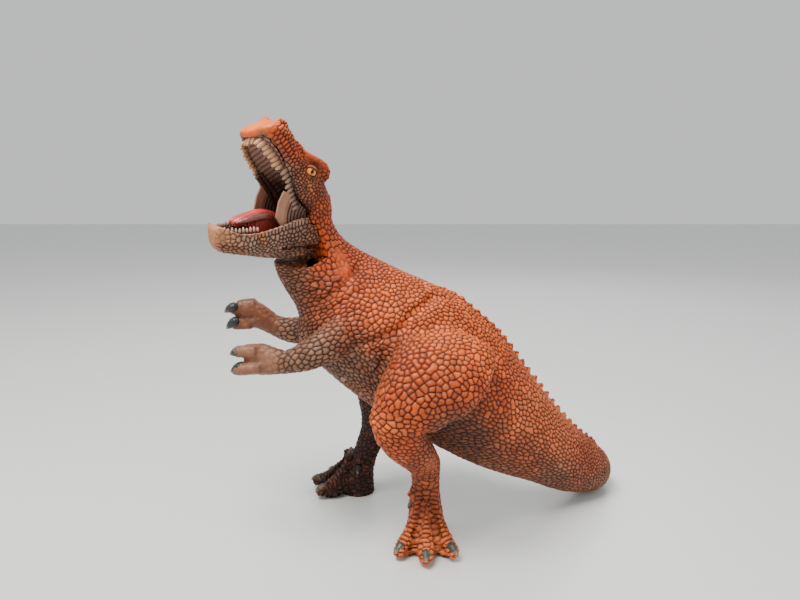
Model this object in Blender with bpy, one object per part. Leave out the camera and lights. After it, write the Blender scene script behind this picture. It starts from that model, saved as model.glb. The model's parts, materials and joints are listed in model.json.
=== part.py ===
"""Toy theropod dinosaur figure: soft plastic mouldings glued together, with a snapping lower jaw.

The figure stands on both feet and the end of its tail.
It looks towards -X, its left side is at -Y and +Z is up.
"""

import math

import bmesh
import bpy
from mathutils import Matrix, Vector

# Driving sizes, in metres.
HIP_HEIGHT = 0.100  # floor to the hip line; the trunk, tail and limbs are drawn in shares of it
SKULL_REACH = 0.0510  # jaw hinge to the tip of the snout
SKULL_HALF_WIDTH = 0.0152
SKULL_HEIGHT = 0.0210  # jaw hinge to the top of the brows
JAW_REACH = 0.0500  # jaw hinge to the chin
JAW_HALF_WIDTH = 0.0144
JAW_DEPTH = 0.0240  # jaw hinge to the underside of the jaw

# Walls, gaps and fits.
SHELL_WALL = 0.003
SEAM_GAP = 0.0003  # glued faces stand this far apart
RUN_GAP = 0.0005  # the jaw runs past the head with this much room
PLUG_LENGTH = 0.007
PLUG_TAPER = 0.001
OVERRUN = 0.002  # how far a cutter runs past what it cuts

# Jaw hinge.
PIN_RADIUS = 0.0015
PIN_HOLE_GAP = 0.00015
PIN_BITE = 0.0016  # how far each end of the pin sits in a cheek
TAB_RADIUS = 0.0046
TAB_THICKNESS = 0.0020
CHEEK_RADIUS = 0.0037  # the head's own material round the pin
WEB_THICKNESS = 0.0014

# Limb plugs.
HIP_PLUG_RADIUS = 0.0075
HIP_PLUG_REACH = 0.016
SHOULDER_PLUG_RADIUS = 0.0042
SHOULDER_PLUG_REACH = 0.0135

# Small anatomy.
LIP_WALL = 0.0024
TOOTH_LENGTH = 0.0034
TOOTH_RADIUS = 0.00170
GUM_THICKNESS = 0.0020
PALATE_THICKNESS = 0.0013
EYE_RADIUS = 0.0029
RIDGE_PITCH = 0.0070
RIDGE_START = 0.0037  # how far before the tail seam the last scute of the body is centred
RIDGE_HALF_LENGTH = 0.0028
RIDGE_HALF_WIDTH = 0.0024
RIDGE_HEIGHT = 0.0042
RIDGE_SUNK_SHARE = 0.27
FOLD_RADIUS = 0.0028
FOLD_DEPTH = 0.0013
TOE_LENGTH = 0.0270
TOE_RADIUS = 0.0062
TOE_CLAW_LENGTH = 0.0085
TOE_CLAW_RADIUS = 0.0034
FINGER_LENGTH = 0.0135
FINGER_RADIUS = 0.0043
FINGER_CLAW_LENGTH = 0.0066
FINGER_CLAW_RADIUS = 0.0031
TONGUE_HALF_WIDTH = 0.0058
TONGUE_THICKNESS = 0.0054

# How the head is held, in degrees.
HEAD_YAW = 43.0
HEAD_ROLL = 8.0
GAPE = 51.0

# Facets round each kind of section.
TRUNK_SIDES = 26
HOLLOW_SIDES = 16
LIMB_SIDES = 18
ARM_SIDES = 14
TOE_SIDES = 12
SMALL_SIDES = 10
HEAD_SIDES = 26
SCUTE_SIDES = 8

# Jaw hinge centre, in shares of HIP_HEIGHT.
HINGE_SHARES = (-0.582, -0.079, 1.770)

# Trunk and tail from the skull base to the tail tip, in shares of HIP_HEIGHT, the heading in degrees:
# centre x, y and z, how far the back lies along the heading and above the centre, half width, heading.
TRUNK_SHARES = (
    (-0.560, -0.080, 1.790, 0.140, 0.070, 0.125, 22.0),
    (-0.577, -0.070, 1.678, 0.154, 0.078, 0.138, 18.0),
    (-0.558, -0.045, 1.568, 0.173, 0.093, 0.152, 13.0),
    (-0.495, -0.018, 1.473, 0.185, 0.118, 0.175, 8.0),
    (-0.405, 0.000, 1.378, 0.215, 0.148, 0.210, 4.0),
    (-0.338, 0.000, 1.270, 0.288, 0.190, 0.250, 0.0),
    (-0.208, 0.000, 1.172, 0.312, 0.222, 0.285, 0.0),
    (-0.050, 0.000, 1.060, 0.300, 0.260, 0.305, 0.0),
    (0.115, 0.000, 0.928, 0.265, 0.278, 0.305, 0.0),
    (0.278, 0.020, 0.800, 0.218, 0.290, 0.285, 4.0),
    (0.442, 0.050, 0.662, 0.172, 0.278, 0.250, 12.0),
    (0.602, 0.100, 0.531, 0.142, 0.246, 0.215, 20.0),
    (0.771, 0.170, 0.400, 0.111, 0.204, 0.180, 28.0),
    (0.945, 0.250, 0.267, 0.080, 0.179, 0.150, 36.0),
    (1.105, 0.340, 0.180, 0.045, 0.155, 0.128, 50.0),
    (1.185, 0.460, 0.126, 0.015, 0.130, 0.110, 76.0),
    (1.180, 0.600, 0.096, 0.000, 0.100, 0.090, 104.0),
    (1.105, 0.730, 0.072, 0.000, 0.076, 0.070, 130.0),
    (0.990, 0.825, 0.050, 0.000, 0.054, 0.052, 145.0),
    (0.865, 0.900, 0.029, 0.000, 0.033, 0.034, 152.0),
)
NECK_SEAM = 2.55  # rows of the trunk table, counted from 0
TAIL_SEAM = 10.30
KEEL_SHARE = 0.20  # how much narrower the back is than the belly
RIDGE_FIRST = 6.2
RIDGE_LAST = 15.6
TAIL_HOLLOW_END = 13.2

# Folds of the skin on the left flank, mirrored to the right: row of the trunk table, and place round the section
# from the left side towards the back.
FOLD_PLACES = 72
FOLD_SHARES = {
    "hip": ((6.24, 16), (6.30, 13), (6.34, 9), (6.33, 5), (6.42, 2), (6.58, 0), (6.80, -2), (7.05, -4), (7.25, -6)),
    "flank": ((6.00, -6), (6.06, -4), (6.12, -2), (6.20, 0), (6.30, 2), (6.32, 4)),
    "neck": ((3.88, -9), (3.94, -6), (3.99, -3), (3.99, 0), (3.92, 3), (3.80, 6), (3.66, 9), (3.54, 13)),
}
FOLD_TAPER = (0.45, 0.85)  # radius at the first two places of a fold and at the last two

# Legs from the hip to the sole: centre x, y and z, fore-and-aft half size and side-to-side half size.
LEFT_LEG_SHARES = (
    (0.230, -0.170, 1.110, 0.225, 0.100),
    (0.170, -0.290, 1.035, 0.265, 0.145),
    (0.090, -0.355, 0.945, 0.248, 0.160),
    (0.005, -0.392, 0.860, 0.208, 0.155),
    (-0.065, -0.405, 0.770, 0.162, 0.138),
    (-0.058, -0.385, 0.670, 0.130, 0.115),
    (0.000, -0.330, 0.570, 0.108, 0.098),
    (0.058, -0.270, 0.480, 0.092, 0.084),
    (0.070, -0.228, 0.400, 0.080, 0.074),
    (0.072, -0.205, 0.300, 0.080, 0.074),
    (0.074, -0.192, 0.200, 0.090, 0.084),
    (0.076, -0.190, 0.100, 0.106, 0.096),
    (0.078, -0.195, -0.020, 0.120, 0.108),
)
RIGHT_LEG_SHARES = (
    (0.180, 0.170, 1.060, 0.225, 0.100),
    (0.105, 0.280, 0.985, 0.262, 0.145),
    (0.010, 0.340, 0.905, 0.242, 0.158),
    (-0.100, 0.365, 0.820, 0.196, 0.150),
    (-0.190, 0.372, 0.725, 0.150, 0.132),
    (-0.205, 0.372, 0.620, 0.126, 0.112),
    (-0.205, 0.372, 0.520, 0.108, 0.096),
    (-0.215, 0.370, 0.430, 0.096, 0.084),
    (-0.250, 0.370, 0.340, 0.084, 0.076),
    (-0.285, 0.370, 0.250, 0.080, 0.076),
    (-0.312, 0.370, 0.160, 0.086, 0.084),
    (-0.325, 0.372, 0.080, 0.098, 0.094),
    (-0.330, 0.375, -0.020, 0.106, 0.100),
)
HIP_SOCKET_SHARES = ((0.150, -0.200, 1.000), (0.090, 0.200, 0.960))
# Height of each dewclaw, and where it points, in degrees from +X.
DEWCLAW_HEIGHT_SHARE = 0.30
DEWCLAW_SHARE = 0.62  # its size beside a toe claw
TOE_SPREAD = 33.0
LEFT_FOOT_HEADING = -92.0
RIGHT_FOOT_HEADING = 171.0
LEFT_DEWCLAW_HEADING = 195.0
RIGHT_DEWCLAW_HEADING = 250.0

# Arms from the shoulder to the palm: centre, up-and-down half size and side-to-side half size.
LEFT_ARM_SHARES = (
    (-0.270, -0.110, 1.205, 0.090, 0.085),
    (-0.350, -0.210, 1.160, 0.108, 0.095),
    (-0.445, -0.275, 1.105, 0.094, 0.085),
    (-0.550, -0.298, 1.055, 0.078, 0.072),
    (-0.640, -0.300, 1.030, 0.062, 0.058),
    (-0.705, -0.300, 1.035, 0.074, 0.056),
    (-0.770, -0.298, 1.045, 0.086, 0.056),
    (-0.815, -0.296, 1.045, 0.078, 0.050),
)
RIGHT_ARM_SHARES = (
    (-0.400, 0.080, 1.180, 0.090, 0.085),
    (-0.500, 0.160, 1.130, 0.104, 0.092),
    (-0.610, 0.205, 1.085, 0.090, 0.082),
    (-0.710, 0.220, 1.080, 0.078, 0.072),
    (-0.800, 0.222, 1.110, 0.062, 0.058),
    (-0.865, 0.222, 1.150, 0.072, 0.056),
    (-0.930, 0.220, 1.180, 0.082, 0.056),
    (-0.975, 0.218, 1.185, 0.074, 0.050),
)
# A hand's two fingers leave the palm above and below its middle, by this share of its half height.
FINGER_OFFSET_SHARE = 0.50
LEFT_FINGER_PITCH = (2.0, -6.0)
RIGHT_FINGER_PITCH = (-8.0, -22.0)

# Skull sections: x in SKULL_REACH, half width in SKULL_HALF_WIDTH, top and bottom in SKULL_HEIGHT.
SKULL_SHARES = (
    (-0.220, 0.72, 0.62, -0.50),
    (-0.100, 0.88, 0.78, -0.45),
    (0.060, 0.97, 0.86, -0.38),
    (0.220, 1.00, 0.90, -0.30),
    (0.360, 1.00, 0.88, -0.25),
    (0.500, 0.95, 0.76, -0.21),
    (0.630, 0.88, 0.67, -0.19),
    (0.760, 0.85, 0.70, -0.13),
    (0.880, 0.82, 0.71, -0.08),
    (0.945, 0.74, 0.58, -0.05),
    (0.985, 0.60, 0.34, -0.03),
    (1.000, 0.42, 0.16, 0.00),
)
# Roof of the mouth: x, half width inside the lips, and height.
PALATE_SHARES = (
    (0.020, 0.60, 0.12),
    (0.180, 0.66, 0.15),
    (0.360, 0.70, 0.16),
    (0.550, 0.66, 0.17),
    (0.750, 0.62, 0.19),
    (0.870, 0.54, 0.18),
    (0.930, 0.38, 0.15),
)
PALATE_PLATE_SHARES = PALATE_SHARES[1:]  # the plate leaves the back of the roof bare
# Brow bars, from behind the eye to the muzzle: x, y, z and radius, in the skull's sizes.
BROW_SHARES = (
    (0.180, 0.60, 0.84, 0.10),
    (0.250, 0.66, 0.90, 0.15),
    (0.350, 0.68, 0.89, 0.16),
    (0.450, 0.64, 0.80, 0.14),
    (0.560, 0.54, 0.67, 0.11),
    (0.680, 0.44, 0.62, 0.08),
)
NOSTRIL_SHARES = (0.895, 0.44, 0.62, 0.13)
EYE_SHARES = (0.405, 0.88, 0.50)

# Lower jaw sections: x in JAW_REACH, half width in JAW_HALF_WIDTH, rim and underside in JAW_DEPTH.
JAW_SHARES = (
    (-0.200, 0.97, 0.02, -0.95),
    (0.000, 1.00, 0.01, -0.98),
    (0.190, 1.00, -0.02, -0.99),
    (0.370, 0.98, -0.14, -0.95),
    (0.560, 0.93, -0.25, -0.89),
    (0.700, 0.88, -0.30, -0.83),
    (0.820, 0.80, -0.29, -0.79),
    (0.910, 0.66, -0.22, -0.74),
    (0.965, 0.48, -0.19, -0.67),
    (1.000, 0.26, -0.26, -0.56),
)
JAW_FLOOR_SHARES = (
    (-0.25, -0.80),
    (0.30, -0.78),
    (0.55, -0.68),
    (0.75, -0.60),
    (0.870, -0.54),
    (0.930, -0.48),
)
TOOTH_ROW_SHARES = (0.54, 0.85)  # where the lower teeth start and end along the jaw
UPPER_ROW_SHARES = (0.40, 0.875)
LOWER_TEETH = 8  # on each side
UPPER_TEETH = 8

# Tongue: x in JAW_REACH, height in JAW_DEPTH, half width and thickness in the tongue's sizes.
TONGUE_SHARES = (
    (0.110, -0.34, 0.70, 0.75),
    (0.230, -0.16, 0.95, 0.95),
    (0.360, -0.04, 1.00, 1.00),
    (0.480, 0.00, 1.00, 1.00),
    (0.590, -0.04, 1.00, 0.95),
    (0.690, -0.09, 0.92, 0.85),
    (0.770, -0.13, 0.72, 0.66),
    (0.800, -0.15, 0.42, 0.36),
)

TONGUE_ROOT_SHARES = (0.24, 0.40, 0.58)  # where the tongue stands on the floor of the jaw
TONGUE_ROOT_WIDTH_SHARE = 0.72

# Hinge tab: the arc of its round head in degrees, then its foot in shares of JAW_DEPTH.
TAB_ARC = (20.0, 294.0)
TAB_FOOT_SHARES = ((0.078, -0.62), (0.078, -0.86), (0.60, -0.86))
# The rear edge of the jaw's side, from the cheek down to its underside, as shares of JAW_DEPTH.
JAW_BACK_SHARES = ((-0.085, -0.33), (-0.170, -0.55), (-0.225, -0.78), (-0.230, -1.06))
# The rest of the opening between the jaws, from the front of the throat up and back to the hinge.
GAP_SHARES = ((1.90, -1.06), (3.40, -1.06), (3.40, 1.90), (1.67, 1.88), (0.76, 0.583), (0.54, 0.500))
CHEEK_ARC = (46.0, -100.0)  # the head's material round the pin, in degrees from the open mouth
# Cheek web outline, as shares of JAW_DEPTH: x forward, z up.
WEB_SHARES = (
    (0.10, -0.60),
    (0.07, -0.30),
    (0.16, -0.12),
    (0.19, 0.06),
    (0.17, 0.14),
    (0.55, 0.470),
    (0.74, 0.540),
    (0.85, 0.32),
    (0.91, 0.00),
    (0.74, -0.23),
    (0.51, -0.43),
    (0.30, -0.56),
)
THROAT_RADIUS_SHARES = (0.56, 0.37, 0.42)  # depth, half width, half height, in SKULL_HALF_WIDTH
THROAT_CENTRE_SHARES = (-0.10, -0.44)  # x and z, in JAW_DEPTH

PARTS = "toy_dinosaur"
CUTTERS = "cutters"
COLOURS = {
    "orange_skin": ((0.60, 0.16, 0.055), 0.45),
    "grey_skin": ((0.36, 0.24, 0.19), 0.50),
    "mouth_skin": ((0.27, 0.17, 0.15), 0.45),
    "throat": ((0.05, 0.012, 0.012), 0.50),
    "tongue": ((0.55, 0.05, 0.05), 0.35),
    "tooth": ((0.72, 0.62, 0.48), 0.35),
    "claw": ((0.07, 0.09, 0.085), 0.40),
    "eye": ((0.80, 0.42, 0.06), 0.15),
    "steel_pin": ((0.55, 0.55, 0.56), 0.30),
}


def clear_scene():
    for thing in list(bpy.data.objects):
        bpy.data.objects.remove(thing)
    for name in (PARTS, CUTTERS):
        folder = bpy.data.collections.new(name)
        bpy.context.scene.collection.children.link(folder)


def material(name):
    """The named finish, made once."""
    found = bpy.data.materials.get(name)
    if found is None:
        colour, roughness = COLOURS[name]
        found = bpy.data.materials.new(name)
        found.use_nodes = True
        shader = found.node_tree.nodes["Principled BSDF"]
        shader.inputs["Base Color"].default_value = (*colour, 1.0)
        shader.inputs["Roughness"].default_value = roughness
        shader.inputs["Metallic"].default_value = 1.0 if name == "steel_pin" else 0.0
    return found


def place(name, mesh, finish=None):
    """Puts a mesh in the scene: a piece where it has a finish, a cutter where it has none."""
    piece = bpy.data.objects.new(name, mesh)
    if finish:
        bpy.data.collections[PARTS].objects.link(piece)
        mesh.materials.append(material(finish))
    else:
        bpy.data.collections[CUTTERS].objects.link(piece)
        piece.hide_render = True
        piece.display_type = "WIRE"
    mesh.shade_smooth()
    mesh.set_sharp_from_angle(angle=math.radians(50.0))
    return piece


def boolean(piece, tool, operation):
    """Leaves a live Boolean on the piece, with a mesh that isn't a piece of its own."""
    step = piece.modifiers.new(tool.name, "BOOLEAN")
    step.operation = operation
    step.object = tool
    step.solver = "EXACT"
    return piece


def cut(piece, tool):
    return boolean(piece, tool, "DIFFERENCE")


def join(piece, tool):
    return boolean(piece, tool, "UNION")


def keep_inside(piece, tool):
    return boolean(piece, tool, "INTERSECT")


def row_at(rows, u):
    """A row of a table at a place between its rows, on a smooth curve through them."""
    last = len(rows) - 1
    i = max(0, min(last - 1, math.floor(u)))
    t = u - i
    before, start, end, after = (rows[max(0, min(last, k))] for k in (i - 1, i, i + 1, i + 2))
    return [
        0.5 * (2 * b + (c - a) * t + (2 * a - 5 * b + 4 * c - d) * t * t + (3 * b - a - 3 * c + d) * t**3)
        for a, b, c, d in zip(before, start, end, after)
    ]


def steps(first, last, count):
    return [first + (last - first) * k / (count - 1) for k in range(count)]


def loft(name, rings, finish=None):
    """A closed body through a run of rings that have the same number of points."""
    form = bmesh.new()
    built = [[form.verts.new(point) for point in ring] for ring in rings]
    for near, far in zip(built, built[1:]):
        for k in range(len(near)):
            after = (k + 1) % len(near)
            form.faces.new((near[k], near[after], far[after], far[k]))
    form.faces.new(list(reversed(built[0])))
    form.faces.new(built[-1])
    bmesh.ops.recalc_face_normals(form, faces=form.faces)
    mesh = bpy.data.meshes.new(name)
    form.to_mesh(mesh)
    form.free()
    return place(name, mesh, finish)


def oval(centre, side, up, half_side, half_up, sides, keel=0.0, square=1.0):
    """Points round an oval; keel narrows its upper half and square below 1 fills its corners."""
    points = []
    for k in range(sides):
        angle = 2 * math.pi * (k + 0.5) / sides
        across, along = math.cos(angle), math.sin(angle)
        across = math.copysign(abs(across) ** square, across)
        along = math.copysign(abs(along) ** square, along)
        narrow = 1 - keel * max(0.0, along) ** 1.5
        points.append(centre + side * (half_side * across * narrow) + up * (half_up * along))
    return points


def prism(name, outline, low, high, turn, finish=None):
    """An outline in the x and z of a frame, given thickness from low to high along its y."""
    rings = [[turn @ Vector((x, y, z)) for x, z in outline] for y in (low, high)]
    return loft(name, rings, finish)


def ball(name, centre, radii, turn, finish=None, sides=SMALL_SIDES):
    form = bmesh.new()
    bmesh.ops.create_uvsphere(form, u_segments=sides, v_segments=max(6, sides // 2), radius=1)
    half_facet = Matrix.Rotation(math.pi / sides, 4, "Z")
    form.transform(turn @ Matrix.Translation(centre) @ Matrix.Diagonal((*radii, 1)) @ half_facet)
    mesh = bpy.data.meshes.new(name)
    form.to_mesh(mesh)
    form.free()
    return place(name, mesh, finish)


def rod(name, start, end, radius, finish=None, sides=LIMB_SIDES):
    """A round bar between two points."""
    way = end - start
    form = bmesh.new()
    bmesh.ops.create_cone(
        form, cap_ends=True, segments=sides, radius1=radius, radius2=radius, depth=way.length
    )
    turn = way.to_track_quat("Z", "Y").to_matrix().to_4x4()
    form.transform(Matrix.Translation((start + end) / 2) @ turn)
    mesh = bpy.data.meshes.new(name)
    form.to_mesh(mesh)
    form.free()
    return place(name, mesh, finish)


def hip_shares(shares):
    return Vector(shares) * HIP_HEIGHT


# Frames of the head and of the open jaw: x forward, y to the figure's left, z up, with the hinge at 0.


def jaw_frame():
    yaw, roll = math.radians(HEAD_YAW), math.radians(HEAD_ROLL)
    forward = Vector((-math.cos(yaw), -math.sin(yaw), 0))
    level_left = Vector((math.sin(yaw), -math.cos(yaw), 0))
    left = level_left * math.cos(roll) - Vector((0, 0, 1)) * math.sin(roll)
    up = forward.cross(left)
    turn = Matrix((forward, left, up)).transposed().to_4x4()
    return Matrix.Translation(hip_shares(HINGE_SHARES)) @ turn


def head_frame():
    return jaw_frame() @ Matrix.Rotation(-math.radians(GAPE), 4, "Y")


# Trunk and tail.


def trunk_centre(u):
    return hip_shares(row_at(TRUNK_SHARES, u)[:3])


def trunk_axes(u):
    """The centre of the trunk at u, the way to its back, its left side and the way out of its section."""
    row = row_at(TRUNK_SHARES, u)
    along = heading(row[6])
    back = hip_shares((along.x * row[3], along.y * row[3], row[4]))
    side = Vector((along.y, -along.x, 0))
    return hip_shares(row[:3]), back, side, back.cross(side).normalized()


def trunk_ring(u, grow=0.0, shift=0.0, sides=TRUNK_SIDES):
    """A section of the trunk, made larger by grow and moved out of its plane by shift."""
    centre, back, side, normal = trunk_axes(u)
    width = HIP_HEIGHT * row_at(TRUNK_SHARES, u)[5]
    return oval(
        centre + normal * shift, side, back.normalized(), width + grow, back.length + grow, sides,
        keel=KEEL_SHARE, square=0.94,
    )


def rows_per_metre(u):
    small = 0.02
    return 2 * small / (trunk_centre(u + small) - trunk_centre(u - small)).length


def ridge_places(first, last, step):
    """Places along the trunk one pitch apart, from first towards last."""
    found, u = [], first
    while (u - last) * step < 0:
        found.append(u)
        u += step * RIDGE_PITCH * rows_per_metre(u)
    return found


def add_ridge(piece, places):
    """A row of blunt scutes down the middle of the back, joined to the shell under them."""
    for number, u in enumerate(places):
        centre, back, side, normal = trunk_axes(u)
        grown = min(1.0, 0.45 + 0.55 * (u - RIDGE_FIRST) / 2.4)
        spine = [trunk_axes(u + small)[0] + trunk_axes(u + small)[1] for small in (-0.05, 0.05)]
        along = (spine[1] - spine[0]).normalized()
        out = side.cross(along).normalized()
        turn = Matrix((along, out.cross(along), out)).transposed().to_4x4()
        sunk = RIDGE_HEIGHT * grown * RIDGE_SUNK_SHARE
        where = Matrix.Translation(centre + back - out * sunk) @ turn
        radii = (RIDGE_HALF_LENGTH, RIDGE_HALF_WIDTH * grown, RIDGE_HEIGHT * grown)
        scute = ball(f"{piece.name}_scute_{number}", Vector(), radii, where, sides=SCUTE_SIDES)
        join(piece, scute)


def fold_point(u, place):
    """The middle of a fold's round groove, a little outside the skin."""
    return trunk_ring(u, FOLD_RADIUS - FOLD_DEPTH, sides=FOLD_PLACES)[place % FOLD_PLACES]


def cut_folds(body):
    """Grooves where the skin folds in front of the thigh, on the flank and at the base of the neck."""
    for name, rows in FOLD_SHARES.items():
        ends = list(FOLD_TAPER)
        radii = [FOLD_RADIUS * share for share in ends + [1] * (len(rows) - 2 * len(ends)) + ends[::-1]]
        sides = {"left": rows, "right": [(u, FOLD_PLACES // 2 - 1 - place) for u, place in rows]}
        for side, places in sides.items():
            points = [fold_point(u, place) for u, place in places]
            cut(body, digit(f"{side}_{name}_fold", points, radii))


def floor_cutter(name):
    """Everything below the floor, so that soles and tail rest flat."""
    reach = 3 * HIP_HEIGHT
    square = ((-reach, -reach), (reach, -reach), (reach, reach), (-reach, reach))
    return loft(name, [[Vector((x, y, z)) for x, y in square] for z in (0, -HIP_HEIGHT)])


def make_trunk():
    """Hollow body shell from the neck seam to the tail seam."""
    rows = steps(NECK_SEAM, TAIL_SEAM, 16)
    body = loft("body_shell", [trunk_ring(u) for u in rows], "orange_skin")
    start = TAIL_SEAM - RIDGE_START * rows_per_metre(TAIL_SEAM)
    add_ridge(body, ridge_places(start, RIDGE_FIRST, -1))
    cut_folds(body)
    between = steps(NECK_SEAM, TAIL_SEAM, 10)[1:-1]
    inner = [trunk_ring(u, -SHELL_WALL, sides=HOLLOW_SIDES) for u in between]
    inner.insert(0, trunk_ring(NECK_SEAM, -SHELL_WALL, -OVERRUN, HOLLOW_SIDES))
    inner.append(trunk_ring(TAIL_SEAM, -SHELL_WALL, OVERRUN, HOLLOW_SIDES))
    return cut(body, loft("body_hollow", inner))


def make_tail(floor):
    """Hollow tail with a collar that plugs into the body shell; it turns aside and rests on the floor."""
    last = len(TRUNK_SHARES) - 1
    rings = [trunk_ring(TAIL_SEAM, shift=SEAM_GAP)]
    rings += [trunk_ring(u) for u in steps(TAIL_SEAM + 0.35, last, 18)]
    tail = loft("tail_shell", rings, "orange_skin")
    start = TAIL_SEAM + (RIDGE_PITCH - RIDGE_START) * rows_per_metre(TAIL_SEAM)
    add_ridge(tail, ridge_places(start, RIDGE_LAST, 1))
    snug = -SHELL_WALL - SEAM_GAP
    collar = [trunk_ring(TAIL_SEAM, snug - PLUG_TAPER, -PLUG_LENGTH, HOLLOW_SIDES)]
    collar.append(trunk_ring(TAIL_SEAM, snug, OVERRUN, HOLLOW_SIDES))
    join(tail, loft("tail_collar", collar))
    core = snug - SHELL_WALL - PLUG_TAPER
    hollow = [trunk_ring(TAIL_SEAM, core, -PLUG_LENGTH - OVERRUN, HOLLOW_SIDES)]
    hollow.append(trunk_ring(TAIL_SEAM, core, OVERRUN, HOLLOW_SIDES))
    deeper = steps(TAIL_SEAM, TAIL_HOLLOW_END, 6)[1:]
    hollow += [trunk_ring(u, -SHELL_WALL - PLUG_TAPER, sides=HOLLOW_SIDES) for u in deeper]
    cut(tail, loft("tail_hollow", hollow))
    return cut(tail, floor)


# Limbs.


def limb_axes(rows, u, ahead):
    """The centre of a limb at u, its forward side and its outer side."""
    small = 0.02
    centre = hip_shares(row_at(rows, u)[:3])
    near, far = (hip_shares(row_at(rows, u + d)[:3]) for d in (-small, small))
    along = (far - near).normalized()
    fore = (ahead - along * ahead.dot(along)).normalized()
    return centre, fore, along.cross(fore)


def limb(name, rows, ahead, count, finish, sides=LIMB_SIDES):
    """A tapering limb through its table of sections."""
    rings = []
    for u in steps(0, len(rows) - 1, count):
        centre, fore, out = limb_axes(rows, u, ahead)
        half_fore, half_out = (HIP_HEIGHT * share for share in row_at(rows, u)[3:5])
        rings.append(oval(centre, out, fore, half_out, half_fore, sides))
    return loft(name, rings, finish)


def trunk_cutter(name, first, last, grow):
    """The outside of the trunk, grown by a gap, for cutting what is glued onto it."""
    return loft(name, [trunk_ring(u, grow) for u in steps(first, last, 16)])


def heading(degrees):
    return Vector((math.cos(math.radians(degrees)), math.sin(math.radians(degrees)), 0))


def digit(name, points, radii, finish=None, sides=SMALL_SIDES, grow=0.0):
    """A finger, toe or claw: round sections along a few points, with its end closed bluntly."""
    rings = []
    for k, (point, radius) in enumerate(zip(points, radii)):
        way = (points[min(k + 1, len(points) - 1)] - points[max(k - 1, 0)]).normalized()
        side = Vector((0, 0, 1)).cross(way).normalized()
        rings.append(oval(point, side, way.cross(side), radius + grow, radius + grow, sides))
    rings[0] = [point - (points[1] - points[0]).normalized() * grow for point in rings[0]]
    rings[-1] = [point + (points[-1] - points[-2]).normalized() * grow for point in rings[-1]]
    return loft(name, rings, finish)


# Shares along a toe: how far out, how high and how thick, in the toe's length and radius.
TOE_SHARES = (
    (0.05, 2.00, 1.00),
    (0.28, 1.45, 1.06),
    (0.52, 1.02, 0.98),
    (0.72, 0.86, 1.02),
    (0.88, 0.76, 0.88),
    (0.97, 0.70, 0.62),
    (1.00, 0.68, 0.34),
)
# The same for a claw that starts at the end of a toe, in the claw's length and radius.
CLAW_SHARES = (
    (-0.32, 0.10, 0.62),
    (0.00, 0.10, 1.00),
    (0.30, 0.02, 0.98),
    (0.62, -0.22, 0.74),
    (0.86, -0.48, 0.42),
    (1.00, -0.66, 0.12),
)


def claw(name, root, way, length, radius, limb_piece):
    """A claw seated in a pocket at the end of a digit, and the pocket cut for it."""
    up = Vector((0, 0, 1))
    points = [root + way * (length * out) + up * (radius * high) for out, high, _ in CLAW_SHARES]
    radii = [radius * thick for _, _, thick in CLAW_SHARES]
    cut(limb_piece, digit(name + "_pocket", points, radii, grow=SEAM_GAP))
    return digit(name, points, radii, "claw")


def make_leg(side, rows, foot_heading, dewclaw_heading, socket, floor):
    """Thigh, shin and three-toed foot in one moulding, with a plug for the hip socket."""
    leg = limb(f"{side}_leg", rows, Vector((-1, 0, 0)), 21, "orange_skin")
    ankle = hip_shares(rows[-2][:3])
    foot = Vector((ankle.x, ankle.y, 0))
    ends = []
    for number, spread in enumerate((-TOE_SPREAD, 0.0, TOE_SPREAD), 1):
        way = heading(foot_heading + spread)
        length = TOE_LENGTH * (1.0 if spread == 0 else 0.90)
        points = []
        for out, high, _ in TOE_SHARES:
            points.append(foot + way * (length * out) + Vector((0, 0, TOE_RADIUS * high)))
        radii = [TOE_RADIUS * thick for _, _, thick in TOE_SHARES]
        join(leg, digit(f"{side}_toe_{number}", points, radii, sides=TOE_SIDES))
        out, high, _ = TOE_SHARES[-2]
        ends.append((number, foot + way * (length * out) + Vector((0, 0, TOE_RADIUS * high)), way))
    cut(leg, floor)
    for number, end, way in ends:
        nail = claw(f"{side}_toe_claw_{number}", end, way, TOE_CLAW_LENGTH, TOE_CLAW_RADIUS, leg)
        cut(nail, floor)
    make_dewclaw(side, leg, rows, dewclaw_heading)
    cut(leg, trunk_cutter(f"{side}_leg_seat", 3.0, TAIL_SEAM + 1.6, SEAM_GAP))
    start = hip_shares(socket)
    out = Vector((0, math.copysign(1, start.y), 0))
    join(leg, rod(f"{side}_hip_plug", start, start + out * HIP_PLUG_REACH, HIP_PLUG_RADIUS))
    return leg


def make_dewclaw(side, leg, rows, direction):
    """The small raised toe on the inner side of the instep."""
    heights = [row[2] for row in rows]
    below = next(k for k, high in enumerate(heights) if high <= DEWCLAW_HEIGHT_SHARE)
    base = hip_shares(rows[below][:3])
    way = heading(direction)
    skin = HIP_HEIGHT * rows[below][4]
    slope = (way + Vector((0, 0, -1.4))).normalized()
    start = base + way * (skin * 0.75)
    radii = [FINGER_RADIUS * share for share in (0.60, 0.72, 0.66, 0.40)]
    points = [start + slope * (FINGER_LENGTH * share) for share in (0.0, 0.22, 0.42, 0.54)]
    join(leg, digit(f"{side}_dewtoe", points, radii))
    size = DEWCLAW_SHARE
    root = start + slope * FINGER_LENGTH * 0.48
    claw(f"{side}_dewclaw", root, slope, TOE_CLAW_LENGTH * size, TOE_CLAW_RADIUS * size, leg)


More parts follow.
